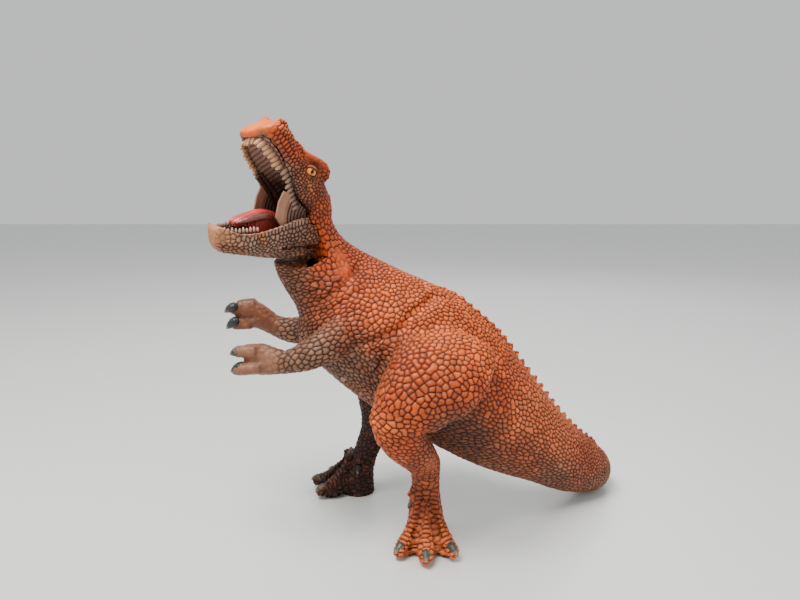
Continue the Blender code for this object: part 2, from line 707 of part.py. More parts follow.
def make_arm(side, rows, pitches):
    """Upper arm, forearm and palm with two fingers, and a plug for the shoulder socket."""
    arm = limb(f"{side}_arm", rows, Vector((0, 0, 1)), 13, "grey_skin", ARM_SIDES)
    palm = hip_shares(rows[-1][:3])
    out = (palm - hip_shares(rows[-2][:3])).normalized()
    half = HIP_HEIGHT * rows[-1][3]
    ends = []
    for number, (offset, pitch) in enumerate(zip((FINGER_OFFSET_SHARE, -FINGER_OFFSET_SHARE), pitches), 1):
        way = Vector((out.x, out.y, 0)).normalized() * math.cos(math.radians(pitch))
        way.z = math.sin(math.radians(pitch))
        root = palm + Vector((0, 0, half * offset)) - way * (FINGER_LENGTH * 0.55)
        points = [root + way * (FINGER_LENGTH * share) for share in (0.0, 0.35, 0.70, 0.92, 1.0)]
        radii = [FINGER_RADIUS * share for share in (0.90, 1.0, 0.96, 0.72, 0.40)]
        join(arm, digit(f"{side}_finger_{number}", points, radii))
        ends.append((number, root + way * (FINGER_LENGTH * 0.90), way))
    for number, end, way in ends:
        claw(f"{side}_finger_claw_{number}", end, way, FINGER_CLAW_LENGTH, FINGER_CLAW_RADIUS, arm)
    cut(arm, trunk_cutter(f"{side}_arm_seat", 2.2, 8.0, SEAM_GAP))
    start, end = shoulder_plug(rows)
    join(arm, rod(f"{side}_shoulder_plug", start, end, SHOULDER_PLUG_RADIUS))
    return arm


def shoulder_plug(rows):
    """Both ends of the round plug: inside the body shell and inside the upper arm."""
    end = hip_shares(rows[2][:3])
    inward = (hip_shares(rows[0][:3]) - end).normalized()
    return end + inward * SHOULDER_PLUG_REACH, end


def cut_sockets(body):
    """Holes in the body shell for the hip and shoulder plugs."""
    for side, shares in zip(("left", "right"), HIP_SOCKET_SHARES):
        start = hip_shares(shares)
        out = Vector((0, math.copysign(1, start.y), 0))
        hole = HIP_PLUG_RADIUS + SEAM_GAP
        cut(body, rod(f"{side}_hip_socket", start - out * OVERRUN, start + out * 2 * HIP_PLUG_REACH, hole))
    for side, rows in (("left", LEFT_ARM_SHARES), ("right", RIGHT_ARM_SHARES)):
        start, end = shoulder_plug(rows)
        past = (end - start).normalized() * OVERRUN
        hole = SHOULDER_PLUG_RADIUS + SEAM_GAP
        cut(body, rod(f"{side}_shoulder_socket", start - past, end + past, hole))


# Head.


def skull_ring(shares, grow=0.0):
    reach, width, top, bottom = shares
    high, low = SKULL_HEIGHT * top + grow, SKULL_HEIGHT * bottom - grow
    centre = Vector((SKULL_REACH * reach, 0, (high + low) / 2))
    points = oval(
        centre, Vector((0, 1, 0)), Vector((0, 0, 1)), SKULL_HALF_WIDTH * width + grow, (high - low) / 2,
        HEAD_SIDES, keel=0.22, square=0.78,
    )
    return [head_frame() @ point for point in points]


def make_head():
    """Skull, upper lips and the top of the neck, with the open mouth cut away."""
    rows = [row_at(SKULL_SHARES, u) for u in steps(0, len(SKULL_SHARES) - 1, 20)]
    head = loft("head_shell", [skull_ring(row) for row in rows], "orange_skin")
    neck = [trunk_ring(u) for u in steps(0, NECK_SEAM - 0.2, 7)] + [trunk_ring(NECK_SEAM, shift=-SEAM_GAP)]
    join(head, loft("head_neck", neck))
    snug = -SHELL_WALL - SEAM_GAP
    plug = [trunk_ring(NECK_SEAM, snug, -OVERRUN, HOLLOW_SIDES)]
    plug.append(trunk_ring(NECK_SEAM, snug - PLUG_TAPER, PLUG_LENGTH, HOLLOW_SIDES))
    join(head, loft("neck_plug", plug))
    for name, hand in (("left", 1), ("right", -1)):
        join(head, make_brow(name, hand))
        x, y, z, radius = NOSTRIL_SHARES
        centre = Vector((SKULL_REACH * x, hand * SKULL_HALF_WIDTH * y, SKULL_HEIGHT * z))
        size = SKULL_HEIGHT * radius
        join(head, ball(f"{name}_nostril_rim", centre, (size * 1.3, size, size), head_frame()))
    cut(head, gap_form("mouth_gap"))
    cut(head, mouth_roof())
    cut(head, throat_form("throat_pocket", 0.0))
    cut_hinge(head)
    for name, hand in (("left", 1), ("right", -1)):
        cut(head, eye_form(f"{name}_eye_socket", hand, SEAM_GAP))
    return head


def gap_form(name):
    """The whole space between the jaws, as wide as the head, with running room round the jaw."""
    arc = steps(math.radians(CHEEK_ARC[0]), math.radians(CHEEK_ARC[1]), 9)
    edge = [(CHEEK_RADIUS * math.cos(a), CHEEK_RADIUS * math.sin(a)) for a in arc]
    edge += [(JAW_DEPTH * x - RUN_GAP, JAW_DEPTH * z) for x, z in JAW_BACK_SHARES]
    rest = [(JAW_DEPTH * x, JAW_DEPTH * z) for x, z in GAP_SHARES]
    wide = 2 * SKULL_HALF_WIDTH
    return prism(name, edge + rest, -wide, wide, jaw_frame())


def make_brow(name, hand):
    """The bar over one eye, which runs forward onto the muzzle."""
    rings = []
    for x, y, z, radius in BROW_SHARES:
        centre = Vector((SKULL_REACH * x, hand * SKULL_HALF_WIDTH * y, SKULL_HEIGHT * z))
        size = SKULL_HEIGHT * radius
        ring = oval(centre, Vector((0, 1, 0)), Vector((0, 0, 1)), size * 1.15, size, SMALL_SIDES)
        rings.append([head_frame() @ point for point in ring])
    return loft(f"{name}_brow", rings)


def palate_arch(half, high):
    """Half of the arched roof of the mouth, from the lip to the middle."""
    return [(half, high - half * 0.40), (half * 0.72, high - half * 0.12), (0.0, high)]


def mouth_roof():
    """The space inside the upper lips, open below."""
    rings = []
    for x, width, top in PALATE_SHARES:
        half = SKULL_HALF_WIDTH * width
        arch = palate_arch(half, SKULL_HEIGHT * top)
        outline = [(half, -SKULL_HEIGHT)] + arch + [(-y, z) for y, z in reversed(arch[:-1])]
        outline.append((-half, -SKULL_HEIGHT))
        rings.append([head_frame() @ Vector((SKULL_REACH * x, y, z)) for y, z in outline])
    return loft("mouth_roof", rings)


def make_palate():
    """The arched plate over the tongue, glued under the roof of the mouth."""
    rings = []
    for x, width, top in PALATE_PLATE_SHARES:
        half = SKULL_HALF_WIDTH * width - 2 * SEAM_GAP
        arch = palate_arch(half, SKULL_HEIGHT * top - SEAM_GAP)
        under = [(y, z - PALATE_THICKNESS) for y, z in arch]
        outline = under[::-1] + arch
        outline = arch + [(-y, z) for y, z in reversed(arch[:-1])]
        outline += [(-y, z) for y, z in under] + under[:-1][::-1]
        rings.append([head_frame() @ Vector((SKULL_REACH * x, y, z)) for y, z in outline])
    return loft("palate", rings, "mouth_skin")


def throat_form(name, inset, finish=None):
    """The blind hollow behind the tongue."""
    radii = [SKULL_HALF_WIDTH * share - inset for share in THROAT_RADIUS_SHARES]
    x, z = (JAW_DEPTH * share for share in THROAT_CENTRE_SHARES)
    return ball(name, Vector((x, 0, z)), radii, jaw_frame(), finish, sides=14)


def tab_sides():
    """The inner and outer face of each hinge tab, from the middle of the head."""
    outer = JAW_HALF_WIDTH - LIP_WALL - 3 * RUN_GAP - WEB_THICKNESS
    return outer - TAB_THICKNESS, outer


def cut_hinge(head):
    """Slots for the two hinge tabs and one hole for the pin."""
    frame = jaw_frame()
    inner, outer = tab_sides()
    for name, hand in (("left", 1), ("right", -1)):
        faces = [hand * (inner - RUN_GAP), hand * (outer + RUN_GAP)]
        start, end = (frame @ Vector((0, y, 0)) for y in faces)
        cut(head, rod(f"{name}_tab_slot", start, end, TAB_RADIUS + RUN_GAP, sides=24))
    reach = pin_half_length() + SEAM_GAP
    ends = [frame @ Vector((0, y, 0)) for y in (-reach, reach)]
    cut(head, rod("pin_hole", ends[0], ends[1], PIN_RADIUS + SEAM_GAP))


def pin_half_length():
    return tab_sides()[1] + RUN_GAP + PIN_BITE


def eye_form(name, hand, grow, finish=None):
    x, y, z = EYE_SHARES
    centre = Vector((SKULL_REACH * x, hand * SKULL_HALF_WIDTH * y, SKULL_HEIGHT * z))
    size = EYE_RADIUS + grow
    return ball(name, centre, (size, size, size), head_frame(), finish, sides=14)


def make_throat_cup():
    """The dark lining of the throat, glued into the head behind the tongue."""
    cup = throat_form("throat_cup", SEAM_GAP, "throat")
    cut(cup, throat_form("throat_cup_inside", SEAM_GAP + GUM_THICKNESS / 2))
    return cut(cup, gap_form("throat_cup_mouth"))


def tooth_row(name, rows, bar_z, point_z, count, half_width, frame, reach, inset):
    """A gum bar bent to the jaw, with pointed teeth along it, as one piece."""
    first, last = rows

    def spot(share):
        wide = half_width(share) - inset
        return reach * share, max(wide, 0.0)

    path = [spot(share) for share in steps(first, last, 9)]
    tip_x, tip_y = path[-1]
    arc = [(tip_x + tip_y * 0.30 * math.sin(a), tip_y * math.cos(a)) for a in steps(0, math.pi / 2, 4)][1:]
    half = path + arc
    whole = half + [(x, -y) for x, y in reversed(half[:-1])]
    thick = GUM_THICKNESS / 2
    rings = []
    for k, (x, y) in enumerate(whole):
        before, after = whole[max(k - 1, 0)], whole[min(k + 1, len(whole) - 1)]
        way = Vector((after[0] - before[0], after[1] - before[1], 0)).normalized()
        side = Vector((0, 0, 1)).cross(way)
        ring = oval(Vector((x, y, bar_z(x / reach))), side, Vector((0, 0, 1)), thick, thick, 6)
        rings.append([frame @ point for point in ring])
    bar = loft(name, rings, "tooth")
    number = 0
    for hand in (1, -1):
        for share in steps(first + 0.02, last, count):
            x, y = spot(share)
            grown = 0.72 + 0.28 * math.sin(math.pi * (share - first) / (last - first))
            base = Vector((x, hand * y, bar_z(share)))
            tip = base + Vector((0, 0, point_z * grown))
            number += 1
            join(bar, tooth(f"{name}_{number}", frame, base, tip, TOOTH_RADIUS * grown))
    return bar


def tooth(name, frame, base, tip, radius):
    form = bmesh.new()
    point = radius * 0.22
    bmesh.ops.create_cone(form, cap_ends=True, segments=5, radius1=radius, radius2=point, depth=1.0)
    way = tip - base
    turn = way.to_track_quat("Z", "Y").to_matrix().to_4x4()
    stretch = Matrix.Diagonal((1, 1, way.length, 1))
    form.transform(frame @ Matrix.Translation((base + tip) / 2) @ turn @ stretch)
    mesh = bpy.data.meshes.new(name)
    form.to_mesh(mesh)
    form.free()
    return place(name, mesh)


def share_between(table, share, column):
    """A value of a table at a place along its first column, on straight lines between its rows."""
    for start, end in zip(table, table[1:]):
        if share <= end[0]:
            t = max(0.0, (share - start[0]) / (end[0] - start[0]))
            return start[column] + (end[column] - start[column]) * t
    return table[-1][column]


# Lower jaw.


def jaw_ring(shares):
    reach, width, rim, under = shares
    high, low = JAW_DEPTH * rim, JAW_DEPTH * under
    half = JAW_HALF_WIDTH * width
    outline = []
    for k in range(9):
        angle = math.pi * k / 8
        drop = math.sin(angle) ** 0.75 if 0 < k < 8 else 0.0
        outline.append((half * math.cos(angle), high - (high - low) * drop))
    x = JAW_REACH * reach
    top = [(-half * 0.5, high), (0.0, high), (half * 0.5, high)]
    return [jaw_frame() @ Vector((x, y, z)) for y, z in outline + top]


def make_jaw():
    """The moving lower jaw: a trough with a pair of hinge tabs."""
    rows = [row_at(JAW_SHARES, u) for u in steps(0, len(JAW_SHARES) - 1, 17)]
    jaw = loft("lower_jaw", [jaw_ring(row) for row in rows], "grey_skin")
    rings = []
    for share, floor in JAW_FLOOR_SHARES:
        half = max(JAW_HALF_WIDTH * share_between(JAW_SHARES, share, 1) - LIP_WALL, LIP_WALL)
        x, low = JAW_REACH * share, JAW_DEPTH * floor
        slope = [(half, JAW_DEPTH), (half, low + half * 0.25), (half * 0.6, low)]
        outline = slope + [(-y, z) for y, z in reversed(slope)]
        rings.append([jaw_frame() @ Vector((x, y, z)) for y, z in outline])
    arc = steps(math.radians(CHEEK_ARC[0]), math.radians(CHEEK_ARC[1]), 9)
    round_pin = CHEEK_RADIUS + RUN_GAP
    edge = [(round_pin * math.cos(a), round_pin * math.sin(a)) for a in arc if a <= 0]
    edge += [(JAW_DEPTH * x, JAW_DEPTH * z) for x, z in JAW_BACK_SHARES]
    front = [(2 * JAW_REACH, edge[-1][1]), (2 * JAW_REACH, OVERRUN), (edge[0][0], OVERRUN)]
    wide = 2 * SKULL_HALF_WIDTH
    keep_inside(jaw, prism("jaw_side", edge + front, -wide, wide, jaw_frame()))
    cut(jaw, loft("jaw_trough", rings))
    inner, outer = tab_sides()
    for name, hand in (("left", 1), ("right", -1)):
        join(jaw, make_tab(name, hand * inner, hand * outer))
    return jaw


def make_tab(name, near, far):
    """A flat ear that reaches up from the floor of the trough to the pin."""
    frame = jaw_frame()
    arc = steps(math.radians(TAB_ARC[0]), math.radians(TAB_ARC[1]), 15)
    round_part = [(TAB_RADIUS * math.cos(a), TAB_RADIUS * math.sin(a)) for a in arc]
    outline = round_part + [(JAW_DEPTH * x, JAW_DEPTH * z) for x, z in TAB_FOOT_SHARES]
    low, high = sorted((near, far))
    tab = prism(f"{name}_hinge_tab", outline, low, high, frame)
    start, end = (frame @ Vector((0, y, 0)) for y in (low - OVERRUN, high + OVERRUN))
    return cut(tab, rod(f"{name}_tab_bore", start, end, PIN_RADIUS + PIN_HOLE_GAP))


def make_hinge_pin():
    frame = jaw_frame()
    ends = [frame @ Vector((0, y, 0)) for y in (-pin_half_length(), pin_half_length())]
    return rod("jaw_pin", ends[0], ends[1], PIN_RADIUS, "steel_pin")


def make_tongue():
    """The tongue, arched over the jaw with its root standing on the floor of the trough."""
    rings = []
    for x, z, width, thick in [row_at(TONGUE_SHARES, u) for u in steps(0, len(TONGUE_SHARES) - 1, 11)]:
        centre = Vector((JAW_REACH * x, 0, JAW_DEPTH * z))
        half_wide, half_thick = TONGUE_HALF_WIDTH * width, TONGUE_THICKNESS / 2 * thick
        ring = oval(centre, Vector((0, 1, 0)), Vector((0, 0, 1)), half_wide, half_thick, 14, square=0.8)
        rings.append([jaw_frame() @ point for point in ring])
    tongue = loft("tongue", rings, "tongue")
    ends = []
    for share in TONGUE_ROOT_SHARES:
        floor = JAW_DEPTH * share_between(JAW_FLOOR_SHARES, share, 1) + SEAM_GAP
        ends.append((JAW_REACH * share, floor, JAW_DEPTH * share_between(TONGUE_SHARES, share, 1)))
    outline = [(x, low) for x, low, _ in ends] + [(x, high) for x, _, high in reversed(ends)]
    half = TONGUE_HALF_WIDTH * TONGUE_ROOT_WIDTH_SHARE
    return join(tongue, prism("tongue_root", outline, -half, half, jaw_frame()))


def make_webs():
    """The two fans of pleated skin at the corners of the mouth, fixed to the head."""
    outline = [(JAW_DEPTH * x, JAW_DEPTH * z) for x, z in WEB_SHARES]
    inner = tab_sides()[1] + RUN_GAP
    for name, hand in (("left", 1), ("right", -1)):
        low, high = sorted((hand * inner, hand * (inner + WEB_THICKNESS)))
        prism(f"{name}_cheek_web", outline, low, high, jaw_frame(), "mouth_skin")


def upper_gum_height(share):
    """The middle of the upper gum, right under the edge of the palate."""
    half = SKULL_HALF_WIDTH * share_between(PALATE_SHARES, share, 1)
    edge = palate_arch(half, SKULL_HEIGHT * share_between(PALATE_SHARES, share, 2))[0][1]
    return edge - PALATE_THICKNESS - GUM_THICKNESS / 2 - 2 * SEAM_GAP


def make_teeth():
    upper = tooth_row(
        "upper_teeth", UPPER_ROW_SHARES, upper_gum_height, -TOOTH_LENGTH, UPPER_TEETH,
        lambda share: SKULL_HALF_WIDTH * share_between(PALATE_SHARES, share, 1),
        head_frame(), SKULL_REACH, GUM_THICKNESS / 2 + SEAM_GAP,
    )
    lower = tooth_row(
        "lower_teeth", TOOTH_ROW_SHARES,
        lambda share: JAW_DEPTH * share_between(JAW_SHARES, share, 2) - GUM_THICKNESS * 0.6,
        TOOTH_LENGTH * 0.8, LOWER_TEETH,
        lambda share: JAW_HALF_WIDTH * share_between(JAW_SHARES, share, 1),
        jaw_frame(), JAW_REACH, LIP_WALL + GUM_THICKNESS / 2 + 3 * SEAM_GAP,
    )
    return upper, lower


def hang_on_hinge(names):
    """Moves the origin of each moving piece onto the hinge, leaving the piece where it is."""
    hinge = hip_shares(HINGE_SHARES)
    for name in names:
        piece = bpy.data.objects[name]
        piece.data.transform(Matrix.Translation(-hinge))
        piece.location = hinge


def settle():
    """Moves the whole figure sideways, so that the middle of its outline is at the origin."""
    bpy.context.view_layer.update()
    graph = bpy.context.evaluated_depsgraph_get()
    corners = []
    for piece in bpy.data.collections[PARTS].objects:
        shape = piece.evaluated_get(graph)
        corners += [piece.matrix_world @ Vector(corner) for corner in shape.bound_box]
    ends = [(min(c[k] for c in corners), max(c[k] for c in corners)) for k in range(2)]
    middle = Vector((*(sum(pair) / 2 for pair in ends), 0))
    for piece in bpy.data.objects:
        piece.location -= middle


def main():
    clear_scene()
    floor = floor_cutter("below_floor")
    cut_sockets(make_trunk())
    make_tail(floor)
    left_hip, right_hip = HIP_SOCKET_SHARES
    make_leg("left", LEFT_LEG_SHARES, LEFT_FOOT_HEADING, LEFT_DEWCLAW_HEADING, left_hip, floor)
    make_leg("right", RIGHT_LEG_SHARES, RIGHT_FOOT_HEADING, RIGHT_DEWCLAW_HEADING, right_hip, floor)
    make_arm("left", LEFT_ARM_SHARES, LEFT_FINGER_PITCH)
    make_arm("right", RIGHT_ARM_SHARES, RIGHT_FINGER_PITCH)
    make_head()
    make_palate()
    make_throat_cup()
    make_webs()
    make_jaw()
    make_hinge_pin()
    make_tongue()
    make_teeth()
    for name, hand in (("left", 1), ("right", -1)):
        eye_form(f"{name}_eye", hand, 0.0, "eye")
    hang_on_hinge(("lower_jaw", "tongue", "lower_teeth"))
    settle()


main()
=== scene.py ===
# %% [markdown]
# # A toy dinosaur, from plain solids to scaly painted plastic
#
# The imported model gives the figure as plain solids: a body, a tail, a head, limbs, a jaw on a pin, teeth
# and claws. This lesson keeps each solid's place and gives it the skin, the paint and the small forms of
# the real toy. Every length below is in millimetres until it goes into a mesh, because the figure is about
# as tall as a pencil.

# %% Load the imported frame
import json
import math

import bpy
import numpy as np
from mathutils import Matrix, Vector
from mathutils.bvhtree import BVHTree
from mathutils.kdtree import KDTree

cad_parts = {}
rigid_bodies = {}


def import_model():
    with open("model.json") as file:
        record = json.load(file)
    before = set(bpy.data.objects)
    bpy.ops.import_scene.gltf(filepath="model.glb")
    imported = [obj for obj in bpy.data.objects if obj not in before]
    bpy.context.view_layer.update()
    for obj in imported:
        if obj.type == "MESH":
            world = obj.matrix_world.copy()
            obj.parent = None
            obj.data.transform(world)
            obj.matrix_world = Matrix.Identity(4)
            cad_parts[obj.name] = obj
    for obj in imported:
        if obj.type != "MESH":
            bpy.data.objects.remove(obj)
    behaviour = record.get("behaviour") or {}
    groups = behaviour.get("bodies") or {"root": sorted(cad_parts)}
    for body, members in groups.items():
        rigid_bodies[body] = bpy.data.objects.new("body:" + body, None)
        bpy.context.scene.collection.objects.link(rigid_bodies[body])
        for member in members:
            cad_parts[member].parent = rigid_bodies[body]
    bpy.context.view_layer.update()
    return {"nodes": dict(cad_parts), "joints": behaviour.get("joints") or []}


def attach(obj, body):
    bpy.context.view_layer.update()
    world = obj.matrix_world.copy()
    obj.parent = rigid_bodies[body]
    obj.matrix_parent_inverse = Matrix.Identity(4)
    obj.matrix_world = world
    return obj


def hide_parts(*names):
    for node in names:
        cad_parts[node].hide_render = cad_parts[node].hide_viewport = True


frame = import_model()
MM = 0.001

# %% [markdown]
# ## Where the head is
#
# The head is turned and tilted, so its small parts are easier to place in a frame of its own. The record
# holds the jaw's hinge: a point and an axis. From those two come a frame for the jaw, which looks level
# along the chin, and one for the skull, which is the same frame tipped back by the angle of the open mouth.

# %% Frames of the jaw and the skull
HEAD_TURN = math.radians(43)
GAPE = math.radians(51)
hinge_joint = frame["joints"][0]
hinge = Vector(hinge_joint["pos_m"])
left_way = -Vector(hinge_joint["axis"]).normalized()
forward_way = Vector((-math.cos(HEAD_TURN), -math.sin(HEAD_TURN), 0))
up_way = forward_way.cross(left_way).normalized()
JAW = Matrix.Translation(hinge) @ Matrix((forward_way, left_way, up_way)).transposed().to_4x4()
SKULL = JAW @ Matrix.Rotation(-GAPE, 4, "Y")


def in_frame(base, x, y, z):
    """A point given in millimetres of the skull's or the jaw's frame, in millimetres of the whole figure."""
    return (base @ Vector((x * MM, y * MM, z * MM))) / MM


print("skull's nose at", [round(v, 1) for v in in_frame(SKULL, 50, 0, 8)])

# %% [markdown]
# ## Camera, floor and light
#
# The camera stands where the photographer's did: a third of a metre away, a little above the figure, tipped
# 10 degrees down. The floor is a plain pale sheet. Light comes from a big soft lamp above and in front, a
# weaker one behind the camera's right shoulder, and a pale sky, so that the scales get small highlights and
# no hard shadow.

# %% Camera, floor and lamps
camera = bpy.data.objects.new("camera", bpy.data.cameras.new("camera"))
bpy.context.scene.collection.objects.link(camera)
camera.location = (-0.016763, -0.36258, 0.1902)
camera.rotation_euler = (math.radians(80), 0, 0)
camera.data.sensor_width = 36
camera.data.lens = 28.8
camera.data.clip_start = 0.01
bpy.context.scene.camera = camera


def plain_material(name, colour, roughness):
    made = bpy.data.materials.new(name)
    made.use_nodes = True
    shader = made.node_tree.nodes["Principled BSDF"]
    shader.inputs["Base Color"].default_value = (*colour, 1)
    shader.inputs["Roughness"].default_value = roughness
    return made


bpy.ops.object.select_all(action="DESELECT")
bpy.ops.mesh.primitive_plane_add(size=6, location=(0, 0, -0.0002))
floor = bpy.context.object
floor.name = "floor"
floor.data.materials.append(plain_material("pale_floor", (0.66, 0.68, 0.66), 0.35))


def lamp(name, place, aim, size, power, colour=(1, 1, 1)):
    light = bpy.data.lights.new(name, "AREA")
    light.size, light.energy, light.color = size, power, colour
    made = bpy.data.objects.new(name, light)
    bpy.context.scene.collection.objects.link(made)
    made.location = place
    made.rotation_euler = (Vector(aim) - Vector(place)).to_track_quat("-Z", "Y").to_euler()


lamp("key_lamp", (-0.30, -0.32, 1.02), (0, 0, 0.1), 0.50, 19, (1, 0.97, 0.92))
lamp("fill_lamp", (0.7, -0.6, 0.5), (0, 0, 0.1), 0.8, 2.2, (0.95, 0.97, 1))
lamp("back_lamp", (0.25, 0.8, 0.7), (0, 0, 0.1), 0.6, 3)
sky = bpy.data.worlds.new("sky")
bpy.context.scene.world = sky
sky.use_nodes = True
sky.node_tree.nodes["Background"].inputs["Color"].default_value = (0.92, 0.93, 0.94, 1)
sky.node_tree.nodes["Background"].inputs["Strength"].default_value = 0.78
print("camera is", round((camera.location - Vector((0, 0, 0.1))).length * 1000), "mm from the body")

# %% [markdown]
# ## One skin for the whole figure
#
# On the real toy the scales run over the joins between the mouldings, so a skin that is modelled piece by
# piece would show every seam. Here the outer mouldings are copied and joined, and a voxel remesh melts the
# copies into one closed skin. It is cut back into one piece for each moulding at the very end.
#
# Modelling by hand with sculpt brushes would give the same result, but it can't be written down as a
# script.

# %% Helpers that select, copy and join
SKIN_GRAIN = 0.52
SKIN_NODES = ["body_shell", "tail_shell", "head_shell", "left_leg", "right_leg", "left_arm", "right_arm"]


def only(thing):
    bpy.ops.object.select_all(action="DESELECT")
    thing.select_set(True)
    bpy.context.view_layer.objects.active = thing


def copy_of(node, name):
    """A copy of a CAD node's mesh, with its loose triangles merged."""
    made = bpy.data.objects.new(name, frame["nodes"][node].data.copy())
    bpy.context.scene.collection.objects.link(made)
    made.data.materials.clear()
    only(made)
    bpy.ops.object.mode_set(mode="EDIT")
    bpy.ops.mesh.select_all(action="SELECT")
    bpy.ops.mesh.remove_doubles(threshold=1e-6)
    bpy.ops.object.mode_set(mode="OBJECT")
    return made


def join(things):
    """Joins some objects into the first of them."""
    bpy.ops.object.select_all(action="DESELECT")
    for thing in things:
        thing.select_set(True)
    bpy.context.view_layer.objects.active = things[0]
    bpy.ops.object.join()
    return things[0]


def remesh(thing, grain):
    """Melts a closed mesh into even quads of about this many millimetres."""
    only(thing)
    modifier = thing.modifiers.new("remesh", "REMESH")
    modifier.mode = "VOXEL"
    modifier.voxel_size = grain * MM
    bpy.ops.object.modifier_apply(modifier=modifier.name)


def keep_outermost(thing):
    """Keeps the loose part that reaches farthest forward, the outer surface, and deletes the rest."""
    only(thing)
    bpy.ops.object.mode_set(mode="EDIT")
    bpy.ops.mesh.select_all(action="DESELECT")
    bpy.ops.object.mode_set(mode="OBJECT")
    low = min(thing.data.vertices, key=lambda vertex: vertex.co.x)
    low.select = True
    bpy.ops.object.mode_set(mode="EDIT")
    bpy.ops.mesh.select_linked()
    bpy.ops.mesh.select_all(action="INVERT")
    bpy.ops.mesh.delete(type="VERT")
    bpy.ops.object.mode_set(mode="OBJECT")


# %% [markdown]
# ## Toes and fingers
#
# The solids have plain toes and fingers. Rounder ones are laid over them as tubes with a round end, before
# the skin is melted together. The right foot is the left one, turned about its ankle.

# %% Tubes for toes and fingers
def sausage(path, name):
    """A closed tube with a round end, along places with a radius each."""
    curve = bpy.data.curves.new(name, "CURVE")
    curve.dimensions = "3D"
    curve.bevel_depth, curve.bevel_resolution, curve.use_fill_caps = MM, 5, True
    end, radius = Vector(path[-1][:3]), path[-1][3]
    way = (end - Vector(path[-2][:3])).normalized()
    rows = list(path) + [(*(end + way * radius * 0.7), radius * 0.7), (*(end + way * radius), radius * 0.08)]
    line = curve.splines.new("POLY")
    line.points.add(len(rows) - 1)
    for point, (x, y, z, thick) in zip(line.points, rows):
        point.co, point.radius = (x * MM, y * MM, z * MM, 1), thick
    made = bpy.data.objects.new(name, curve)
    bpy.context.scene.collection.objects.link(made)
    only(made)
    bpy.ops.object.convert(target="MESH")
    return bpy.context.object


LEFT_TOES = [
    [(-7.5, -43.5, 31, 2.5), (-8.0, -45.5, 21, 3.0), (-11.0, -50.0, 11.5, 4.2), (-14.6, -55.5, 6.0, 4.6),
     (-17.0, -58.6, 4.6, 4.2)],
    [(-3.0, -45.0, 32, 2.6), (-3.0, -47.5, 21, 3.2), (-3.1, -53.5, 11.0, 4.6), (-3.4, -60.5, 6.0, 5.0),
     (-3.6, -65.0, 4.8, 4.4)],
    [(1.6, -43.5, 31, 2.5), (2.2, -45.0, 21, 3.0), (5.2, -49.5, 11.5, 4.2), (8.6, -55.5, 6.0, 4.6),
     (10.6, -59.4, 4.6, 4.2)],
]
FINGERS = [
    [(-88, -53, 109.5, 3.3), (-95, -51.8, 109.3, 3.3), (-98.6, -50.4, 108.6, 3.0)],
    [(-86, -53.6, 101.5, 3.4), (-95, -52, 100.4, 3.6), (-99.2, -50.6, 99.4, 3.1)],
    [(-104, 1, 120.5, 3.2), (-110, 1.2, 120.6, 3.2), (-113, 1.5, 120.2, 2.9)],
    [(-103, 1, 112, 3.2), (-110, 1.2, 111.6, 3.2), (-112.5, 1.5, 111.2, 2.9)],
]
BETWEEN_TOES = [
    [(-5.4, -48.5, 26), (-5.6, -49.5, 19), (-6.9, -53, 11.5), (-8.9, -57.5, 6.5), (-10.4, -61.5, 3.5)],
    [(-0.6, -48.0, 26), (-0.4, -49.0, 19), (1.2, -53, 11.5), (2.9, -57.8, 6.5), (3.9, -61.8, 3.5)],
]
BETWEEN_FINGERS = [
    [(-84, -56, 105.2), (-92, -55, 104.9), (-99, -52, 104.2)],
    [(-102, -2.2, 116.4), (-112, -1.4, 116)],
]
LEFT_ANKLE, RIGHT_ANKLE, FOOT_TURN = (-2.6, -39.4), (-44.0, 18.3), math.radians(-97.1)


def to_right_foot(place):
    """The right foot is the left one, turned about the ankle and standing a little flatter."""
    x, y = place[0] - LEFT_ANKLE[0], place[1] - LEFT_ANKLE[1]
    cosine, sine = math.cos(FOOT_TURN), math.sin(FOOT_TURN)
    height = min(place[2], 12) + 0.75 * max(place[2] - 12, 0)
    turned = (x * cosine - y * sine, x * sine + y * cosine)
    return (RIGHT_ANKLE[0] + turned[0], RIGHT_ANKLE[1] + turned[1], height, *place[3:])


def right_foot(path):
    return [to_right_foot(place) for place in path]


BLOCK_GRAIN = 1.0
skin = join([copy_of(node, "skin") for node in SKIN_NODES])
parts = [sausage(path, "toe") for toe in LEFT_TOES for path in (toe, right_foot(toe))]
parts += [sausage(path, "finger") for path in FINGERS]
join([skin] + parts)
remesh(skin, BLOCK_GRAIN)
keep_outermost(skin)
print("skin block", len(skin.data.vertices), "points")

# %% [markdown]
# ## Softening the facets
#
# The solids have flat facets, which light would show up. Averaging each point with its neighbours rounds
# them off, and pushing back a little after each pass keeps the volume. The small forms of the head, hands
# and feet would melt away, so a weight holds those points almost still.

# %% Read and write points as arrays, and soften
def read(items, key, width=1, kind=float):
    """One property of many mesh items as an array, with a row for each item where width is more than one."""
    values = np.empty(len(items) * width, kind)
    items.foreach_get(key, values)
    return values.reshape(-1, width) if width > 1 else values


def points_of(thing):
    return read(thing.data.vertices, "co", 3) / MM


def set_points(thing, points):
    thing.data.vertices.foreach_set("co", (points * MM).ravel())
    thing.data.update()


def normals_of(thing):
    return read(thing.data.vertex_normals, "vector", 3)


def edges_of(thing):
    return read(thing.data.edges, "vertices", 2, np.int64)


def neighbour_mean(values, edges):
    total = np.zeros_like(values)
    count = np.bincount(edges.ravel(), minlength=len(values)).astype(float)
    for axis in range(values.shape[1]):
        total[:, axis] = np.bincount(edges[:, 0], values[edges[:, 1], axis], len(values))
        total[:, axis] += np.bincount(edges[:, 1], values[edges[:, 0], axis], len(values))
    return total / np.maximum(count, 1)[:, None]


def soften(points, edges, weight, passes):
    for _ in range(passes):
        for share in (0.55, -0.57):
            points = points + share * weight[:, None] * (neighbour_mean(points, edges) - points)
    return points


